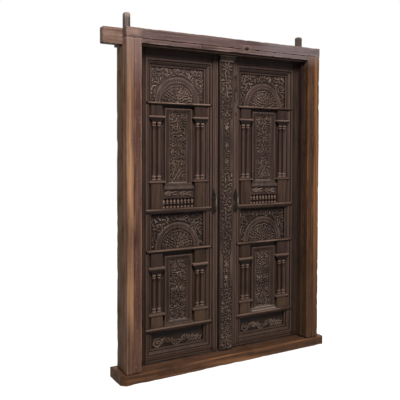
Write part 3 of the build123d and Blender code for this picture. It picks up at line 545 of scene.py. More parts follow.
def thicket(relief, inside, swirl_x, swirl_z, pitch, seed):
    """Dense foliage: leaves on a staggered grid that follow a chequer of swirls, with a scroll in each."""
    dice = np.random.default_rng(seed)
    x_low, z_low = relief.x_line[0], relief.z_line[0]
    width, height = relief.x_line[-1] - x_low, relief.z_line[-1] - z_low
    radius = 0.2 * min(swirl_x, swirl_z)
    for row in range(int(height / swirl_z) + 1):
        for column in range(int(width / swirl_x) + 1):
            x, z = x_low + (column + 0.5) * swirl_x, z_low + (row + 0.5) * swirl_z
            hand = 1 if (row + column) % 2 else -1
            start, polish_and_glint = dice.uniform(0, TURN), dice.uniform(0.2, 0.6)
            if inside(x, z, radius):
                relief.stamp(x, z, 1.2 * radius, polish_and_glint, curl, radius, hand, start)
    for row in range(int(height / pitch) + 1):
        for column in range(int(width / pitch) + 1):
            shift_x, shift_z = dice.uniform(-0.2, 0.2, 2) * pitch
            x = x_low + (column + 0.5 * (row % 2)) * pitch + shift_x
            z = z_low + (row + 0.5) * pitch + shift_z
            turn_x, turn_z = math.pi * (x - x_low) / swirl_x, math.pi * (z - z_low) / swirl_z
            flow_x = math.sin(turn_x) * math.cos(turn_z) / swirl_z
            flow_z = -math.cos(turn_x) * math.sin(turn_z) / swirl_x
            angle = math.atan2(flow_z, flow_x) + dice.uniform(-0.5, 0.5)
            length, breadth = pitch * dice.uniform(1.2, 1.7), pitch * dice.uniform(0.45, 0.66)
            bend, lift = dice.uniform(-0.3, 0.3), dice.uniform(0.66, 1.0)
            polish_and_glint = 0.18 + 0.72 * dice.uniform(0, 1) ** 2.2
            if inside(x, z, 0.3 * pitch):
                relief.stamp(x, z, 1.05 * length, polish_and_glint, leaf, angle, length, breadth, bend, lift)


def rosette(relief, x, z, radius, petals, turn, polish_and_glint):
    """Petals round an eye."""
    for number in range(petals):
        angle = turn + TURN * number / petals
        root_x, root_z = x + 0.12 * radius * math.cos(angle), z + 0.12 * radius * math.sin(angle)
        relief.stamp(root_x, root_z, radius, polish_and_glint, leaf, angle, 0.88 * radius, 2.6 * radius / petals, 0.0)
    relief.stamp(x, z, 0.2 * radius, polish_and_glint, knob, 0.18 * radius)


# Rings of a fan: petals, inner and outer share of the rim, shift along the ring
FAN_RINGS = ((5, 0.13, 0.38, 0.0), (9, 0.32, 0.56, 0.5), (12, 0.5, 0.75, 0.25), (16, 0.69, 0.94, 0.75))
FAN_ANGLE_SEED, FAN_RADIUS_SEED = 61, 62


def fan(relief, rim):
    """Petals in four staggered rings under an arch, uneven by hand, each with a cut down its middle."""
    radius, angle = np.hypot(relief.x, relief.z), np.arctan2(relief.z, relief.x)
    angle = angle + 0.07 * wander(relief.x / 16, relief.z / 16, FAN_ANGLE_SEED)
    radius = radius * (1 + 0.03 * wander(relief.x / 16, relief.z / 16, FAN_RADIUS_SEED))
    relief.raise_to(bead(radius, 0.12 * rim), 0.3)
    for petals, inner, outer, shift in FAN_RINGS:
        share = np.clip((radius / rim - inner) / (outer - inner), 0, 1)
        count = angle / math.pi * petals + shift
        place = count % 1.0 - 0.5
        half = 0.46 * np.sin(math.pi * np.clip(share, 0.02, 0.98) ** 0.6) + 0.001
        petal = bead(place, half) * (share > 0) * (share < 1) * (radius < rim)
        petal *= 0.6 + 0.4 * smooth_step(0.0, 0.14, np.abs(place))
        petal *= 0.78 + 0.22 * np.cos(3 * TURN * share)
        relief.raise_to(petal, 0.15 + 0.45 * np.sin(7.3 * np.floor(count)) ** 2)
    beads = 0.55 + 0.45 * np.cos(46 * angle)
    relief.raise_to(bead(radius - 0.965 * rim, 0.04 * rim) * beads, 0.45)


# Raised bands of an arch: inset from its edge, half width, height, depth and number of beads, polish and
# painted glint
ARCH_BANDS = ((4, 4.5, 0.9, 0.2, 70, 0.5), (31, 4.5, 0.85, 0.32, 58, 0.5), (39, 3.0, 0.55, 0.0, 0, 0.2))
SLOPE_IN, SLOPE_TOP, FAN_INSET = 26, 8, 52
SWIRL_X, SWIRL_Z, CORNER_PITCH = 66, 62, 20


def arch_carving(relief, arch_half, cover, half, seed):
    """An arch panel: moulded bands on a half circle, a fan inside and foliage in the corners."""
    radius, angle = np.hypot(relief.x, relief.z), np.arctan2(relief.z, relief.x)
    top = relief.z_line[-1] - cover

    def in_corners(leaf_x, leaf_z, margin):
        clear = math.hypot(leaf_x, leaf_z) > arch_half + margin
        return clear and abs(leaf_x) < half - margin and -margin < leaf_z < top - margin

    thicket(relief, in_corners, SWIRL_X, SWIRL_Z, CORNER_PITCH, seed)
    relief.keep_inside(smooth_step(arch_half - 2, arch_half, radius))
    inner = smooth_step(arch_half + 2, arch_half, radius)
    slope = 0.3 + 0.4 * smooth_step(arch_half - SLOPE_IN, arch_half - SLOPE_TOP, radius)
    relief.raise_to(slope * (radius > arch_half - SLOPE_IN) * inner, 0.12)
    for inset, wide, tall, deep, beads, polish_and_glint in ARCH_BANDS:
        waves = 1 - deep + deep * np.cos(beads * angle)
        relief.raise_to(tall * bead(radius - (arch_half - inset), wide) * waves, polish_and_glint)
    fan(relief, arch_half - FAN_INSET)
    relief.keep_inside(smooth_step(0, -3, np.maximum(np.abs(relief.x) - half, relief.z - top)))


def strip_carving(relief, half, margin, pitch, seed):
    """A carved strip about the line x = 0: foliage, and two thin raised borders if its margin is wide."""
    def in_strip(leaf_x, leaf_z, clear):
        return abs(leaf_x) < half - margin - 0.6 * clear

    thicket(relief, in_strip, half, 1.2 * half, pitch, seed)
    across = np.abs(relief.x)
    relief.keep_inside(smooth_step(half - margin + 1, half - margin - 2, across))
    if margin > BARE_MARGIN:
        relief.raise_to(0.7 * bead(across - half + margin / 2, margin / 2 - 1), 0.2)


def shell(x, z, wide, tall, hand, ribs):
    """A ribbed half-shell in an ellipse: leaning ridges spread from its root to a raised rim on one side."""
    share = np.hypot(x / wide, z / tall)
    angle = np.arctan2(-hand * z / tall, x / wide)
    place = (angle / math.pi * ribs + 0.9 * share) % 1.0 - 0.5
    rib = bead(place, 0.46) * (0.72 + 0.28 * share) * (share > 0.12) * smooth_step(0.9, 0.84, share)
    rim = 0.85 * bead(share - 0.92, 0.1)
    return np.maximum(rib, rim) * (angle > 0)


# Leaves of the foot frieze where two rims meet: lean and length
MEETING_LEAVES = ((0.4, 0.5), (1.2, 0.42), (2.2, 0.4))
# Slanted leaves at its end: place, length and lean
END_LEAVES = ((0.95, 1.9, 0.9), (1.2, 2.0, 1.0), (1.45, 2.0, 1.0), (1.72, 1.9, 1.1), (2.05, 1.7, 1.0))


def sweep_carving(relief, half, low, high):
    """A running frieze: half-shells that open up and down in turn, so that their rims make one waving stem.

    A scroll starts it, slanted leaves and a small scroll end it, and leaves stand where the rims meet.
    """
    step, reach, middle = 0.4 * half, (high - low) / 2, (low + high) / 2
    for number in (-1, 0, 1):
        hand = -1 if number else 1
        x = (number - 0.15) * step
        root = middle + 0.25 * hand * reach
        relief.stamp(x, root, 0.62 * step, 0.6, shell, 0.56 * step, 1.2 * reach, hand, 6)
        for lean, length in MEETING_LEAVES:
            sizes = (-hand * lean, length * step, 0.17 * step, 0.2 * hand)
            relief.stamp(x + 0.5 * step, middle, step, 0.5, leaf, *sizes)
    relief.stamp(-1.95 * step, middle, 1.2 * reach, 0.5, curl, 1.05 * reach, 1, 2.2, 0.04)
    for x, length, lean in END_LEAVES:
        sizes = (lean, length * reach, 0.2 * step, -0.2)
        relief.stamp(x * step, middle - 0.85 * reach, 2.4 * reach, 0.6, leaf, *sizes)
    relief.stamp(2.15 * step, middle - 0.4 * reach, reach, 0.7, curl, 0.6 * reach, -1, 0.3, 0.04)
    across, along = np.abs(relief.z - middle), np.abs(relief.x)
    relief.keep_inside(smooth_step(reach + 3, reach - 1, across) * smooth_step(half + 4, half - 1, along))


# Leaves of a spray: share of the half length, turn, length, width, bend
SPRAY_LEAVES = (
    (0.0, 0.0, 0.86, 0.9, 0.0), (0.02, 0.62, 0.5, 0.5, -0.35), (0.02, -0.62, 0.5, 0.5, 0.35),
    (0.42, 0.5, 0.46, 0.5, -0.3), (0.42, -0.5, 0.46, 0.5, 0.3),
)


def spray_carving(relief, half, low, high):
    """A short band of two sprays: a long leaf in each, with smaller leaves that bend round it and an eye."""
    reach, middle = (high - low) / 2, (low + high) / 2
    for x, lean in ((-0.92 * half, 0.12), (0.04 * half, -0.1)):
        for share, turn, length, width, bend in SPRAY_LEAVES:
            sizes = (lean + turn, length * half, width * reach, bend)
            relief.stamp(x + share * half, middle, half, 0.6, leaf, *sizes)
        relief.stamp(x + 0.3 * half, middle, 0.4 * reach, 0.9, knob, 0.36 * reach)
    relief.keep_inside(smooth_step(reach + 3, reach - 1, np.abs(relief.z - middle)))


def bare_relief(low, high, origin):
    """An uncarved relief between two corners of x and z, measured from an origin."""
    lines = []
    for start, end, zero in zip(low, high, origin):
        lines.append(np.linspace(start, end, int((end - start) / CARVING_GRID)) - zero)
    return Relief(*lines)


def local_mean(field, reach):
    """The mean of a field over a square about each point, from running sums along both axes."""
    count = 2 * reach + 1
    for axis in (0, 1):
        margins = [(0, 0), (0, 0)]
        margins[axis] = (reach + 1, reach)
        total = np.swapaxes(np.cumsum(np.pad(field, margins, mode="edge"), axis=axis), 0, axis)
        field = np.swapaxes((total[count:] - total[:-count]) / count, 0, axis)
    return field


def carved_board(relief, origin, crest, ground, back, seed, rub_and_sheen=1.1, ledge_shadow=0.0, ground_shade=0.0):
    """A board whose face lies between its ground and crest depths as a relief says.

    What stands above the mean of its surroundings is rubbed light in patches, partly a painted highlight,
    and what lies below gets painted shade.
    A length under the top edge gets painted shadow all over, and the bare ground gets painted shade by its
    own share.
    """
    height, x, z = 0.15 + 0.85 * relief.height, relief.x, relief.z
    front = ground + (crest - ground) * height + 0.35 * wander(x / 30, z / 30, seed)
    stands_out = height - local_mean(height, 5)
    patchy = np.clip(0.8 + 0.45 * wander(x / 26, z / 26, seed + 2), 0.15, 1.4)
    # Crests are rubbed light, partly a painted highlight; hollows get painted shade, and the bare ground
    # more of it
    rubbed_and_highlit = 1.7 * rub_and_sheen * np.clip(stands_out, 0, 1) * relief.polish_and_glint * patchy + 0.12 * relief.height
    crevice_shade = 2.0 * np.clip(-0.04 - stands_out, 0, 0.5)
    crevice_shade = crevice_shade + ground_shade * smooth_step(0.12, 0.0, relief.height)
    wear = rubbed_and_highlit - crevice_shade + 0.06 * wander(x / 50, z / 40, seed + 1)
    # Painted shadow of the ledge above, over a length under the top edge
    if ledge_shadow:
        wear = wear - smooth_step(z[-1, 0] - 1.6 * ledge_shadow, z[-1, 0] - 0.4 * ledge_shadow, z)
    return board_shape(relief.x_line + origin[0], relief.z_line + origin[1], front, back, wear)


def carve_node(node, body, finish, x_origin, lift, sink, seed, marks_and_shade, carve, *sizes):
    """Put a board in a solid's place, carved in a relief that starts a lift over the solid's foot.

    The ground lies a sink behind the solid's front. Marks and shade are the rub, partly a painted highlight,
    the length of painted shadow under the top edge and the painted shade of the ground.
    """
    low, high = node_box(node)
    origin = (x_origin, low[2] + lift)
    relief = bare_relief(low[[0, 2]], high[[0, 2]], origin)
    carve(relief, *sizes)
    shape = carved_board(relief, origin, low[1], low[1] + sink, high[1], seed, *marks_and_shade)
    add_piece("carved", node, [shape], body, finish)


def mitred_run(centre, half, stations, profile):
    """A profile of inset, depth and wear rows carried past stations: side, height, share of inset there."""
    inset, depth, wear = np.array(profile, float).T
    rings = [
        np.stack([centre + hand * (half - inset), depth, height + lift * inset], -1)
        for hand, height, lift in stations
    ]
    return tube_shape(np.stack(rings), np.broadcast_to(wear, (len(rings), len(wear))).copy())


def mitred_stations(start, end, lift):
    """Two uprights from a start height to an end height, with a mitred piece across the end."""
    return ((-1, start, 0), (-1, end, lift), (1, end, lift), (1, start, 0))


def upright_run(outline, low, high):
    """An outline of x, y and wear rows carried straight up."""
    x, y, wear = np.array(outline, float).T
    rings = [np.stack([x, y, np.full(x.shape, height)], -1) for height in (low, high)]
    return tube_shape(np.stack(rings), np.stack([wear, wear]))


def flared_block(rows, back):
    """A block against the boards, lofted through level rectangles: height, left, right, depth, wear."""
    rings = np.array([
        [(x, back - out, height) for x, out in ((left, 0), (right, 0), (right, depth), (left, depth))]
        for height, left, right, depth, wear in rows
    ], float)
    wear = np.repeat([[row[4]] for row in rows], 4, axis=1)
    return tube_shape(rings, wear)


def even_block(centre, rows, back):
    """A flared block about a middle line, from rows of height, half width, depth and wear."""
    sided = [(height, centre - half, centre + half, depth, wear) for height, half, depth, wear in rows]
    return flared_block(sided, back)


# Sizes that the carved pieces share
CARVING_GRID = 1.9
PANEL_SINK, GALLERY_SINK, STRIP_SINK = 13, 8, 12
PANEL_HALF, MOULDING = 200, 50
ARCH_HALF, ARCH_FOOT = 168, 5
# A strip has raised borders when its margin is wider than the bare one
NICHE_MARGIN, BARE_MARGIN = 7, 3
SIDE_BAR, TOP_BAR, FOOT_BAR = 35, 36, 9
PAIR_OFFSET, COLUMN_SPACING = 166, 38
# Heights of the two tiers: base, shaft, capital, abacus, top of the abacus
TIERS = ((383, 406, 650, 690, 708), (1268, 1286, 1661, 1697, 1711))
# How far the shafts reach up into the capitals of the solids
NECK_RISE = 9
# The niches: sill, foot of the uprights, head, leaf spacing
NICHES = ((302, 326, 774, 15), (1222, 1262, 1764, 17))
# Long slanted leaves low in an upper niche: x, z, angle, length
NICHE_LEAVES = ((-34, 10, 0.95, 110), (-14, 12, 0.85, 80), (-44, 40, 1.1, 70))
# Friezes: half length, foot and top of the carving
BASE_FRIEZE, GALLERY_FRIEZE = (194, MOULDING - 6, 112), (114, 8, 56)
# Added to a leaf's own seed
NICHE_SEED, BASE_SEED, GALLERY_SEED, LEDGE_SEED = 10, 30, 31, 40
# Ledges: underside, top, half length
LEDGES = ((270, 302, 250), (800, 822, 243), (1063, 1095, 250), (1782, 1801, 238))

# Turned shafts: heights over the foot and under the neck, with their radii
SHAFT_RADIUS, SPINDLE_RADIUS, SPINDLES = 11.6, 4.6, 9
FOOT_HEIGHTS = np.array([0, 2, 8, 10, 12, 15, 17, 20, 25, 28, 31, 60])
NECK_HEIGHTS = np.array([-60, -28, -26, -23, -19, -17, -15, -13, -10, -6, -2, 0])
SHAFT_RADII = (
    14.6, 15, 15, 13.6, 10.2, 10.2, 13.6, 15, 15, 13.4, 10.9, 11.6,
    11.2, 10.8, 13, 13.8, 13.2, 10.2, 10.2, 12.6, 14.8, 15, 14.4, 12.8,
)
SPINDLE_SHARES = np.array([
    0, 0.12, 0.17, 0.22, 0.38, 0.42, 0.45, 0.52, 0.55, 0.58, 0.64, 0.71, 0.8, 0.89, 0.94, 1.0
])
SPINDLE_RADII = (8.4, 8.4, 6.5, 3.2, 3.2, 4.5, 7.4, 7.4, 3.6, 7.2, 8.5, 8, 6.2, 4, 3.2, 3.2)

# Profiles as rows of inset, rise above the boards, and wear: below 0 it is painted shade in the grooves and
# at the feet, above 0 it is rubbed edges, partly a painted highlight
SURROUND = (
    (0, 0, -0.6), (0, 15, 0.0), (1.5, 17, 0.12), (9, 17, 0.02), (11, 16, 0.0), (29, 8, -0.1), (30, 7, -0.7),
    (31, 10, 0.1), (34, 10, 0.08), (35, 8, -0.4), (35, 0, -0.8),
)
FIELD_MOULDING = (
    (0, 0, -0.6), (0, 34, 0.0), (1.5, 36, 0.3), (10.5, 36, 0.1), (12, 34.5, 0.2), (12.5, 29, -0.9),
    (17.5, 26.5, -0.9), (18, 28, 0.28), (22, 26, 0.12), (30, 20, 0.06), (33, 17.5, 0.28), (33.5, 12.5, -0.9),
    (39.5, 10.5, -0.9), (40, 12, 0.35), (43, 10.5, 0.05), (49, 9, 0.15), (50, 7, -0.4), (50, 0, -0.7),
)
REED_STEPS, REED_COUNT, REED_FOOT = 9, 3, 2
STILE_GROOVES, GROOVE_HALF, GROOVE_SINK = (0.2, 0.43), 1.5, 4
# Across a stile's groove: shift, depth and wear, which paints shade into the groove
GROOVE_ROWS = (
    (GROOVE_HALF + 0.8, 0, 0.0), (GROOVE_HALF, 1, -0.6), (0.5, GROOVE_SINK, -0.9),
    (-0.5, GROOVE_SINK, -0.9), (-GROOVE_HALF, 1, -0.6), (-GROOVE_HALF - 0.8, 0, 0.0),
)
PLATE_THICK, BOW_HALF, BOW_STEPS, GRIP_RADIUS = 4, 57, 25, 4.5

for side, body, leaf_seed, side_rub_and_sheen in (("left", "left_leaf", 100, 1.0), ("right", "right_leaf", 200, 0.75)):
    board_low, board_high = node_box(f"{side}_field_boards")
    centre, board = (board_low[0] + board_high[0]) / 2, board_low[1]
    carved_wood = carved_woods[side]

    # Arch panels: length under the moulding, seed, rub, length of painted shadow under the ledge above
    for tier, cover, number, rub_and_sheen, ledge_shadow in (("upper", MOULDING, 1, 1.4, 0), ("lower", 0, 2, 1.15, 26)):
        # The bare ground of each arch panel gets painted shade by 0.6
        seed, marks_and_shade = leaf_seed + number, (rub_and_sheen * side_rub_and_sheen, ledge_shadow, 0.6)
        carve_node(
            f"{side}_{tier}_arch_panel", body, carved_wood, centre, ARCH_FOOT, PANEL_SINK, seed, marks_and_shade,
            arch_carving, ARCH_HALF, cover, PANEL_HALF, seed,
        )

    # Niches: a carved panel in a bevelled surround on a flared sill
    panels, surrounds = [], []
    low, high = node_box(f"{side}_niche_panels")
    half = (high[0] - low[0]) / 2
    outer = half + SIDE_BAR
    profile = [(inset, board - rise, wear) for inset, rise, wear in SURROUND]
    for number, (sill_low, bottom, top, pitch) in enumerate(NICHES):
        origin = (centre, bottom + FOOT_BAR)
        relief = bare_relief((centre - half, origin[1]), (centre + half, top - TOP_BAR), origin)
        strip_carving(relief, half, NICHE_MARGIN, pitch, leaf_seed + NICHE_SEED + number)
        if number:
            for x, z, angle, length in NICHE_LEAVES:
                relief.stamp(x, z, length, 0.55, leaf, angle, length, 0.17 * length, 0.1)
        panels.append(carved_board(relief, origin, low[1] - 2, high[1] - 1, high[1], 7 + number))
        surrounds.append(mitred_run(centre, outer, mitred_stations(bottom, top, -1), profile))
        rise = bottom - sill_low
        # The right lower sill is rubbed pale, partly a painted highlight
        sill_wear_and_sheen = 0.55 if side == "right" and not number else 0.1
        rows = (
            (sill_low, outer + 9, 31, 0.05),
            (sill_low + 0.3 * rise, outer + 9, 31, sill_wear_and_sheen),
            (sill_low + 0.45 * rise, outer + 7, 27, 0.5 * sill_wear_and_sheen),
            (sill_low + 0.75 * rise, outer + 2, 19, 0.0),
            (bottom, outer, 17, sill_wear_and_sheen),
        )
        surrounds.append(even_block(centre, rows, board))
        rows = ((bottom, half + 1, 9, 0.2), (origin[1], half + 1, 8, 0.3))
        surrounds.append(even_block(centre, rows, board))
    add_piece("carved", f"{side}_niche_panels", panels, body, carved_wood)
    add_piece("bevelled", f"{side}_niche_frames", surrounds, body, niche_wood, smooth=False)

    # Friezes at the foot and over the spindles
    # The foot frieze gets painted shadow over 40 under its top edge and painted shade on its bare ground
    carve_node(
        f"{side}_base_frieze_panel", body, carved_wood, centre, 0, PANEL_SINK, leaf_seed + BASE_SEED,
        (1.0, 40, 0.4), sweep_carving, *BASE_FRIEZE,
    )
    carve_node(
        f"{side}_gallery_frieze", body, carved_wood, centre, 0, GALLERY_SINK, leaf_seed + GALLERY_SEED,
        (1.0,), spray_carving, *GALLERY_FRIEZE,
    )

    # Paired columns: turned shafts between moulded bases and capitals
    low, high = node_box(f"{side}_column_shafts")
    y = (low[1] + high[1]) / 2
    shafts, bases, capitals = [], [], []
    for base_low, foot, head, neck, abacus_top in TIERS:
        head += NECK_RISE
        heights = np.concatenate([foot + FOOT_HEIGHTS, head + NECK_HEIGHTS])
        rise, bell = foot - base_low, neck - head
        # The plate is rubbed light, partly a painted highlight, and gets painted shade where the shafts
        # stand
        base_rows = (
            (base_low, 60, 34, 0.0), (base_low + 2, 61, 35, 0.3), (base_low + 0.5 * rise, 61, 35, 0.5),
            (base_low + 0.62 * rise, 57, 33, 0.15), (foot - 2, 46, 28, 0.2), (foot, 45, 27, -0.4),
        )
        # The bell under the abacus is painted dark as its shade, and the abacus top is rubbed light, partly
        # a painted highlight
        capital_rows = (
            (head, 36, 26, -0.8), (head + 0.35 * bell, 40, 27, -1.0), (head + 0.7 * bell, 50, 30, -1.0),
            (neck, 58, 33, -0.9), (neck + 2, 59, 34, 0.1), (abacus_top - 3, 59, 34, 0.8),
            (abacus_top, 57, 32, 0.7),
        )
        for pair in (centre - PAIR_OFFSET, centre + PAIR_OFFSET):
            for hand in (-0.5, 0.5):
                x = pair + hand * COLUMN_SPACING
                shafts.append(lathe_shape(x, y, heights, SHAFT_RADII, SHAFT_RADIUS))
            bases.append(even_block(pair, base_rows, board))
            capitals.append(even_block(pair, capital_rows, board))
    add_piece("turned", f"{side}_column_shafts", shafts, body, leaf_upright)
    add_piece("moulded", f"{side}_column_bases", bases, body, leaf_level, smooth=False)
    add_piece("moulded", f"{side}_column_capitals", capitals, body, leaf_level, smooth=False)

    # Spindles of the small gallery
    node = f"{side}_gallery_spindles"
    low, high = node_box(node)
    widest = max(SPINDLE_RADII)
    heights = low[2] + SPINDLE_SHARES * (high[2] - low[2])
    shapes = [
        lathe_shape(x, high[1] - widest, heights, SPINDLE_RADII, SPINDLE_RADIUS, 0.85)
        for x in np.linspace(low[0] + widest, high[0] - widest, SPINDLES)
    ]
    add_piece("turned", node, shapes, body, leaf_upright)

    # Moulding round the field, in lengths between the ledges
    node = f"{side}_field_moulding"
    low, high = node_box(node)
    half = (high[0] - low[0]) / 2
    profile = [(inset, board - rise, 1.3 * wear) for inset, rise, wear in FIELD_MOULDING]
    runs = [mitred_stations(LEDGES[0][0], low[2], 1), mitred_stations(LEDGES[3][1], high[2], -1)]
    for below, above in zip(LEDGES[:-1], LEDGES[1:]):
        runs += [((hand, below[1], 0), (hand, above[0], 0)) for hand in (-1, 1)]
    shapes = [mitred_run(centre, half, stations, profile) for stations in runs]
    add_piece("worn", node, shapes, body, leaf_upright, smooth=False)

    # Reeds beside the meeting edge, and the outer stile with its two grooves
    node = f"{side}_reeded_strip"
    low, high = node_box(node)
    width, foot = (high[0] - low[0]) / REED_COUNT, high[1] - REED_FOOT
    # Reed crests are rubbed light and the hollows between them get painted shade
    outline = [(high[0], high[1], -0.3), (low[0], high[1], -0.3)]
    for number in range(REED_COUNT):
        for turn in np.linspace(0, math.pi, REED_STEPS)[:-1]:
            x = low[0] + (number + 0.5 - 0.5 * math.cos(turn)) * width
            outline.append((x, foot - (foot - low[1]) * math.sin(turn), 1.05 * math.sin(turn) - 0.6))
    outline.append((high[0], foot, -0.65))
    shape = upright_run(outline, low[2], high[2])
    add_piece("worn", node, [shape], body, leaf_upright, smooth=False)

    node = f"{side}_outer_stile"
    low, high = node_box(node)
    outline = [
        (low[0], low[1] + 1, 0.0), (low[0], high[1], 0.0), (high[0], high[1], 0.0),
        (high[0], low[1] + 1, 0.0), (high[0] - 1, low[1], 0.05),
    ]
    for share in sorted((1 - share if side == "left" else share for share in STILE_GROOVES), reverse=True):
        x = low[0] + share * (high[0] - low[0])
        outline += [(x + shift, low[1] + depth, wear) for shift, depth, wear in GROOVE_ROWS]
    outline.append((low[0] + 1, low[1], 0.05))
    shape = upright_run(outline, low[2], high[2])
    add_piece("worn", node, [shape], body, leaf_upright, smooth=False)

    # Small cornices with a worn nose, a top rubbed light, partly a painted highlight, and painted shade on
    # the underside
    node = f"{side}_ledges"
    low, high = node_box(node)
    nose_wear_and_sheen = 0.1 if side == "left" else 0.2
    shapes = []
    for number, (bottom, top, half) in enumerate(LEDGES):
        corners = (
            (high[1], bottom), (high[1], top), (low[1], top), (low[1], top - 9), (low[1] + 12, bottom)
        )
        seed = leaf_seed + LEDGE_SEED + number
        rings, wear = timber_shape(corners, "x", centre - half, centre + half, seed, 2.5, 0.7, 1.8, 4, 6)
        upper = smooth_step(top - 11, top - 6, rings[..., 2])
        # Painted shade on the underside
        under = smooth_step(bottom + 7, bottom + 1, rings[..., 2])
        rubbed_and_highlit = np.clip(1.5 * wear + nose_wear_and_sheen, 0, 1)
        shapes.append(tube_shape(rings, rubbed_and_highlit * upper + 0.06 * (1 - upper) - 0.9 * under))
    add_piece("worn", node, shapes, body, leaf_level)

    # Forged pull: a leaf-shaped plate with a bow that swells at its middle
    node = f"{side}_pull_handle"
    low, high = node_box(node)
    middle, size = (low + high) / 2, high - low
    t = np.linspace(0, 1, 33)
    half_line = size[0] / 2 * (0.34 + 0.66 * np.cos(TURN * (t - 0.17)) ** 2)
    half_line = half_line * smooth_step(0, 0.12, t) * smooth_step(1, 0.88, t) + 0.6
    around = np.linspace(0, TURN, 12, endpoint=False)
    ring_x = middle[0] + half_line[:, None] * np.cos(around)
    ring_y = high[1] - PLATE_THICK * (0.5 + 0.5 * np.sin(around)) + 0 * ring_x
    rings = np.stack([ring_x, ring_y, low[2] + size[2] * t[:, None] + 0 * ring_x], -1)
    swing = np.linspace(0, math.pi, BOW_STEPS)
    grip_out = size[1] - GRIP_RADIUS - PLATE_THICK
    path = np.stack([
        np.full(BOW_STEPS, middle[0]),
        high[1] - PLATE_THICK - grip_out * np.sin(swing) ** 0.6,
        middle[2] - BOW_HALF * np.cos(swing),
    ], -1)
    # The grip is rubbed bright at its middle, partly a painted highlight
    bow = np.sin(swing) ** 2
    grip = bent_bar(path, (1, 0, 0), 3.4 + 1.3 * bow, 0.04 + 0.26 * bow**3)
    plate = tube_shape(rings, np.zeros(rings.shape[:2]))
    add_piece("forged", node, [plate, grip], body, forged_iron)

# Door chain: a staple and three long links of round bar
STAPLE_STEPS, LINK_STEPS = 17, 44
# Each link is rubbed bright by its share, partly a painted highlight
LINK_WEAR_AND_SHEEN = {"upper": 0.05, "middle": 0.05, "lower": 0.2}
low, high = node_box("chain_staple")
middle, size = (low + high) / 2, high - low
bar = size[2] / 2
turn = np.linspace(0, math.pi, STAPLE_STEPS)
path = np.stack([
    middle[0] + (size[0] / 2 - bar) * np.cos(turn),
    high[1] - (size[1] - bar) * np.sin(turn) ** 0.5,
    np.full(STAPLE_STEPS, middle[2]),
], -1)
shape = bent_bar(path, (0, 0, 1), bar, 0.05)
add_piece("forged", "chain_staple", [shape], "right_leaf", forged_iron)

for place, link_wear_and_sheen in LINK_WEAR_AND_SHEEN.items():
    node = f"chain_link_{place}"
    low, high = node_box(node)
    middle, size = (low + high) / 2, high - low
    wide = 0 if size[0] > size[1] else 1
    bar = min(size[0], size[1]) / 2
    turn = np.linspace(0, TURN, LINK_STEPS, endpoint=False)
    path = np.zeros((LINK_STEPS, 3)) + middle
    for axis, wave in ((wide, np.cos(turn)), (2, np.sin(turn))):
        path[:, axis] += (size[axis] / 2 - bar) * np.sign(wave) * np.abs(wave) ** 0.55
    side_axis = (0, 1, 0) if wide == 0 else (1, 0, 0)
    shape = bent_bar(path, side_axis, bar, link_wear_and_sheen, closed_path=True)
    add_piece("forged", node, [shape], f"{place}_link", forged_iron)

# Cover strip at the meeting edge. Each stretch: foot, top, half width of the carving, leaf spacing
STRETCHES = (
    (78, 508, 50, 15), (518, 752, 27, 16), (752, 850, 38, 19), (850, 1330, 50, 24), (1330, 1702, 27, 17),
    (1702, 2020, 50, 22),
)
# Flowers: height, radius, petals, turn, polish and painted glint
FLOWERS = [(height, 18, 6, 0.3, 1.9) for height in (1405, 1520, 1640, 590, 680)]
FLOWERS.append((2058, 52, 8, TURN / 16, 0.5))
STRIP_SEED, STRIP_BOARD_SEED = 300, 309


def cover_carving(strip, strip_half):
    """A long strip in stretches with their own foliage between plain raised borders, and flowers on it."""
    for number, (bottom, top, half, pitch) in enumerate(STRETCHES):
        rows = (strip.z_line > bottom) & (strip.z_line < top)
        stretch = Relief(strip.x_line, strip.z_line[rows] - bottom)
        strip_carving(stretch, half, BARE_MARGIN, pitch, STRIP_SEED + number)
        stretch.raise_to(np.where(np.abs(stretch.x) > half + 1, 0.5, 0.0), 0.05)
        strip.height[rows], strip.polish_and_glint[rows] = stretch.height, stretch.polish_and_glint
    for height, radius, petals, turn, polish_and_glint in FLOWERS:
        rosette(strip, 0, height, radius, petals, turn, polish_and_glint)
    strip.keep_inside(smooth_step(strip_half, strip_half - 5, np.abs(strip.x)))


low, high = node_box("astragal")
strip_centre, strip_half = (low[0] + high[0]) / 2, (high[0] - low[0]) / 2
carve_node(
    "astragal", "right_leaf", strip_wood, strip_centre, -low[2], STRIP_SINK, STRIP_BOARD_SEED, (0.8,),
    cover_carving, strip_half,
)

low, high = node_box("astragal_cap")
tall, deep = high[2] - low[2], high[1] - low[1]
strip_edge, CAP_FLARE = strip_centre + strip_half, 10
# Rows of height, right edge, depth and wear: below 0 it is painted shade under a step, above 0 a rubbed
# edge, partly a painted highlight
cap_rows = (
    (low[2], strip_edge, deep - 6, 0.0),
    (low[2] + 0.25 * tall, strip_edge + 2, deep - 6, 0.25),
    (low[2] + 0.3 * tall, strip_edge, deep - 7, -0.6),
    (low[2] + 0.6 * tall, high[0] + 0.5 * CAP_FLARE, deep - 3, 0.3),
    (low[2] + 0.64 * tall, high[0] + 0.5 * CAP_FLARE, deep - 4, -0.5),
    (high[2] - 2, high[0] + CAP_FLARE, deep, 0.6),
    (high[2], high[0] + CAP_FLARE - 2, deep - 2, 0.4),
)
shape = flared_block([(height, low[0], *row) for height, *row in cap_rows], high[1])
add_piece("flared", "astragal_cap", [shape], "right_leaf", strip_wood, smooth=False)

# Worn timbers of the frame
GROOVE_AT, GROOVE_WIDE, GROOVE_DEEP, INNER_BACK = 51, 4, 8, 3
JAMB_LIP, STOP_THICK = 24, 48
CASING_SEED, JAMB_SEED, SILL_SEED = 11, 31, 51
KNOT_X, KNOT_Z, KNOT_SIZE, KNOT_SINK = 121, 2189, 17, 3
SILL_CORNER = 35


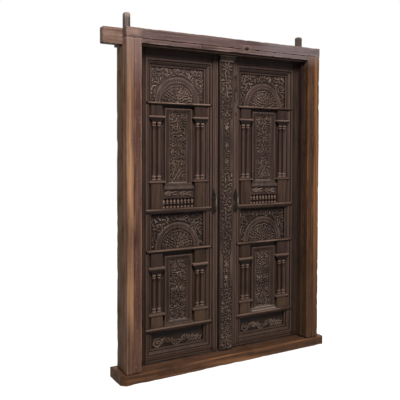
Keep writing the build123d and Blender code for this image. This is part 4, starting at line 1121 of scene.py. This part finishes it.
def end_corners(low, high):
    """The four corners in y and z of a beam that lies along X."""
    return ((low[1], low[2]), (high[1], low[2]), (high[1], high[2]), (low[1], high[2]))


for side, hand, finish, side_finish in (
    ("left", -1, left_casing_wood, left_jamb_lit_wood), ("right", 1, right_casing_wood, right_jamb_shaded_wood)
):
    node = f"{side}_casing"
    low, high = node_box(node)
    outer, inner = (low[0], high[0])[::-hand]
    groove = outer - hand * GROOVE_AT
    groove_end, sunk, step_back = groove - hand * GROOVE_WIDE, low[1] + GROOVE_DEEP, low[1] + INNER_BACK
    corners = (
        (outer, high[1]), (outer, low[1]), (groove, low[1]), (groove, sunk), (groove_end, sunk),
        (groove_end, step_back), (inner, step_back), (inner, high[1]),
    )
    rings, wear = timber_shape(corners, "z", low[2], high[2], CASING_SEED + hand)
    x, y, z = np.moveaxis(rings, -1, 0)
    front = smooth_step(low[1] + 14, low[1] + 2, y)
    outer_band = smooth_step(-4, 10, hand * (x - groove))
    if hand < 0:
        streak = 0.55 + 0.4 * wander(z / 210, x / 7, 5)
        fade = 0.45 + 0.55 * smooth_step(2150, 1700, z)
        # The casing's sides are lightened as painted light
        side_painted_light = (1 - front) * (0.3 + 0.25 * wander(z / 180, y / 9, 8))
        wear = np.maximum(np.maximum(wear * 0.7, side_painted_light), front * outer_band * streak * fade)
    else:
        # The front is lighter than the dark sides: worn streaks, and painted light on the front against
        # painted shade on the sides
        streak = 0.56 + 0.32 * wander(z / 260, x / 8, 6)
        wear = np.maximum(wear * 0.6, front * (0.1 + 0.9 * outer_band) * streak)
    add_piece("worn", node, [tube_shape(rings, np.clip(wear, 0, 1))], "frame", finish)

    node = f"{side}_jamb"
    low, high = node_box(node)
    outer, inner = (low[0], high[0])[::-hand]
    wall, stop = outer - hand * JAMB_LIP, low[1] + STOP_THICK
    corners = (
        (outer, low[1]), (outer, high[1]), (wall, high[1]), (wall, stop), (inner, stop), (inner, low[1])
    )
    rings, wear = timber_shape(corners, "z", low[2], high[2], JAMB_SEED + hand, 3, 1.3, 3.0, 8, 14)
    add_piece("worn", node, [tube_shape(rings, 0.6 * wear)], "frame", side_finish)

for node, seed in (("head_casing", 21), ("head_strip", 24)):
    low, high = node_box(node)
    rings, wear = timber_shape(end_corners(low, high), "x", low[0], high[0], seed, step=5, stride=7)
    x, y, z = np.moveaxis(rings, -1, 0)
    front = smooth_step(low[1] + 10, low[1] + 4, y)
    away = np.hypot((x - KNOT_X) / 1.5, z - KNOT_Z) / KNOT_SIZE
    knot = front * smooth_step(0.9, 0.4, away)
    rings[..., 1] += KNOT_SINK * knot
    end_worn = smooth_step(-600, -760, x) * (0.55 + 0.3 * wander(x / 25, z / 12, 27))
    wear = np.maximum(0.8 * wear, 0.8 * front * end_worn)
    wear = wear + 0.25 * front * bead(away - 1.1, 0.3) - 1.2 * knot
    add_piece("worn", node, [tube_shape(rings, wear)], "frame", head_wood)

low, high = node_box("sill")
rings, wear = timber_shape(end_corners(low, high), "x", low[0], high[0], SILL_SEED, 7, 1.4, 4.0)
x, y, z = np.moveaxis(rings, -1, 0)
cut_line = low[1] + SILL_CORNER - (x - low[0])
rings[..., 1] = np.maximum(y, np.minimum(cut_line, high[1]))
front = smooth_step(low[1] + 6, low[1] + 1, rings[..., 1])
wear = np.maximum(0.8 * wear, front * (0.15 + 0.4 * wander(x / 120, z / 14, 53)))
add_piece("worn", "sill", [tube_shape(rings, np.clip(wear, 0, 1))], "frame", sill_wood)

# The other solids keep their shape and get softened edges
OWN_FINISHES = {
    "rails": rail_wood, "field_boards": board_wood, "hanging_post": post_wood,
    "column_pedestals": pedestal_wood, "pivot_rail": rear_wood, "lintel_beam": horn_wood,
}
LEAF_EDGE, FRAME_EDGE, JOIN_WITHIN, EDGE_ANGLE = 1.6, 3.0, 0.01, 35


def soften(piece, width):
    """Merge a solid's loose triangles and round its edges a little."""
    weld = piece.modifiers.new("join", "WELD")
    weld.merge_threshold = JOIN_WITHIN * MM
    edge = piece.modifiers.new("edges", "BEVEL")
    edge.width = width * MM
    edge.segments = 2
    edge.limit_method = "ANGLE"
    edge.angle_limit = math.radians(EDGE_ANGLE)


for name, piece in nodes.items():
    finish = leaf_upright
    for kind, own_finish in OWN_FINISHES.items():
        if name.endswith(kind):
            finish = own_finish
    piece.data.materials.clear()
    piece.data.materials.append(finish)
    soften(piece, FRAME_EDGE if name in ("pivot_rail", "lintel_beam") else LEAF_EDGE)


# Floor, light and camera
WHITE = (1, 1, 1, 1)
FLOOR_HALF, FLOOR_GLOW, WORLD_LIGHT = 12.0, 1.22, 0.11
AIM = (0, 0, 1.1)
# Lamps: name, place, size, power
LAMPS = (
    ("key_light", (-1.7, -3.6, 4.6), 1.1, 315), ("fill_light", (2.6, -4.2, 1.6), 2.6, 24),
    ("side_light", (5.0, 0.6, 2.2), 2.0, 90), ("rear_light", (2.4, 4.0, 3.4), 2.6, 170),
)
CAMERA_PLACE, CAMERA_LENS, CAMERA_SENSOR, CAMERA_SHIFT = (-2.185, -3.4247, 1.4844), 51.93, 36.0, -0.0827
CAMERA_YAW, CAMERA_PITCH, CAMERA_ROLL = np.radians((30.12, -1.656, -0.129)).tolist()


def seen_rays(tree):
    """One for what the camera sees itself, in a reflection or through glass, and otherwise nothing."""
    path = tree.nodes.new("ShaderNodeLightPath").outputs
    seen = math_step(tree, "MAXIMUM", path["Is Camera Ray"], path["Is Glossy Ray"])
    return math_step(tree, "MAXIMUM", seen, path["Is Transmission Ray"])


def mix_shaders(tree, share, first, second, end):
    """Blend two shader nodes by a share and feed the result to an output."""
    mixer = tree.nodes.new("ShaderNodeMixShader")
    for socket, value in enumerate((share, first.outputs[0], second.outputs[0])):
        feed(tree, value, mixer.inputs[socket])
    feed(tree, mixer.outputs[0], end)


def stage_floor(half):
    """A wide level sheet under the door, as a grid of two by two points, that fades to white far away."""
    line = np.array([-half, half])
    x, y = np.meshgrid(line, line)
    points = np.stack([x, y, np.full(x.shape, cad_low[2])], -1).reshape(-1, 3)
    mesh = bpy.data.meshes.new("floor")
    mesh.from_pydata(points.tolist(), [], [(0, 1, 3, 2)])
    material, tree, shader, sources = new_finish("pale_floor")
    seen = seen_rays(tree)
    pale = blend(tree, seen, tone(150, 150, 150), tone(250, 250, 249))
    surface(tree, shader, pale, 0.9, 0.0, ())
    distance = tree.nodes.new("ShaderNodeVectorMath")
    distance.operation = "LENGTH"
    feed(tree, sources["Object"], distance.inputs[0])
    share = math_step(tree, "MULTIPLY", seen, band(tree, distance.outputs["Value"], 1.2, 3.6, 0.7, 1.0))
    glow = add_node(tree, "ShaderNodeEmission", Color=WHITE, Strength=FLOOR_GLOW)
    mix_shaders(tree, share, shader, glow, tree.nodes["Material Output"].inputs["Surface"])
    mesh.materials.append(material)
    floor = show("floor", mesh)


def studio_world(strength):
    """White to the camera and to reflections, and a soft even light on the object."""
    world = bpy.data.worlds.new("studio")
    bpy.context.scene.world = world
    world.use_nodes = True
    tree = world.node_tree
    tree.nodes.clear()
    white = add_node(tree, "ShaderNodeBackground", Color=WHITE, Strength=1.0)
    light = add_node(tree, "ShaderNodeBackground", Color=WHITE, Strength=strength)
    output = tree.nodes.new("ShaderNodeOutputWorld")
    mix_shaders(tree, seen_rays(tree), light, white, output.inputs[0])


def soft_box(name, place, size, power):
    """A large square lamp that faces the door."""
    lamp = bpy.data.lights.new(name, "AREA")
    lamp.shape = "SQUARE"
    lamp.size = size
    lamp.energy = power
    holder = show(name, lamp)
    aim = np.array(AIM) - np.array(place)
    holder.location = place
    tilt = math.atan2(math.hypot(aim[0], aim[1]), -aim[2])
    holder.rotation_euler = (tilt, 0, math.atan2(aim[1], aim[0]) - math.pi / 2)


def photo_camera():
    """A camera at the photograph's place: turned 30 degrees to the wall, with a small drop of the frame."""
    data = bpy.data.cameras.new("camera")
    data.sensor_width = CAMERA_SENSOR
    data.lens = CAMERA_LENS
    data.shift_y = CAMERA_SHIFT
    camera = show("camera", data)
    camera.location = CAMERA_PLACE
    camera.rotation_euler = (math.pi / 2 + CAMERA_PITCH, CAMERA_ROLL, -CAMERA_YAW)
    bpy.context.scene.camera = camera


stage_floor(FLOOR_HALF)
studio_world(WORLD_LIGHT)
for lamp in LAMPS:
    soft_box(*lamp)
photo_camera()
bpy.context.scene.view_settings.view_transform = "Standard"
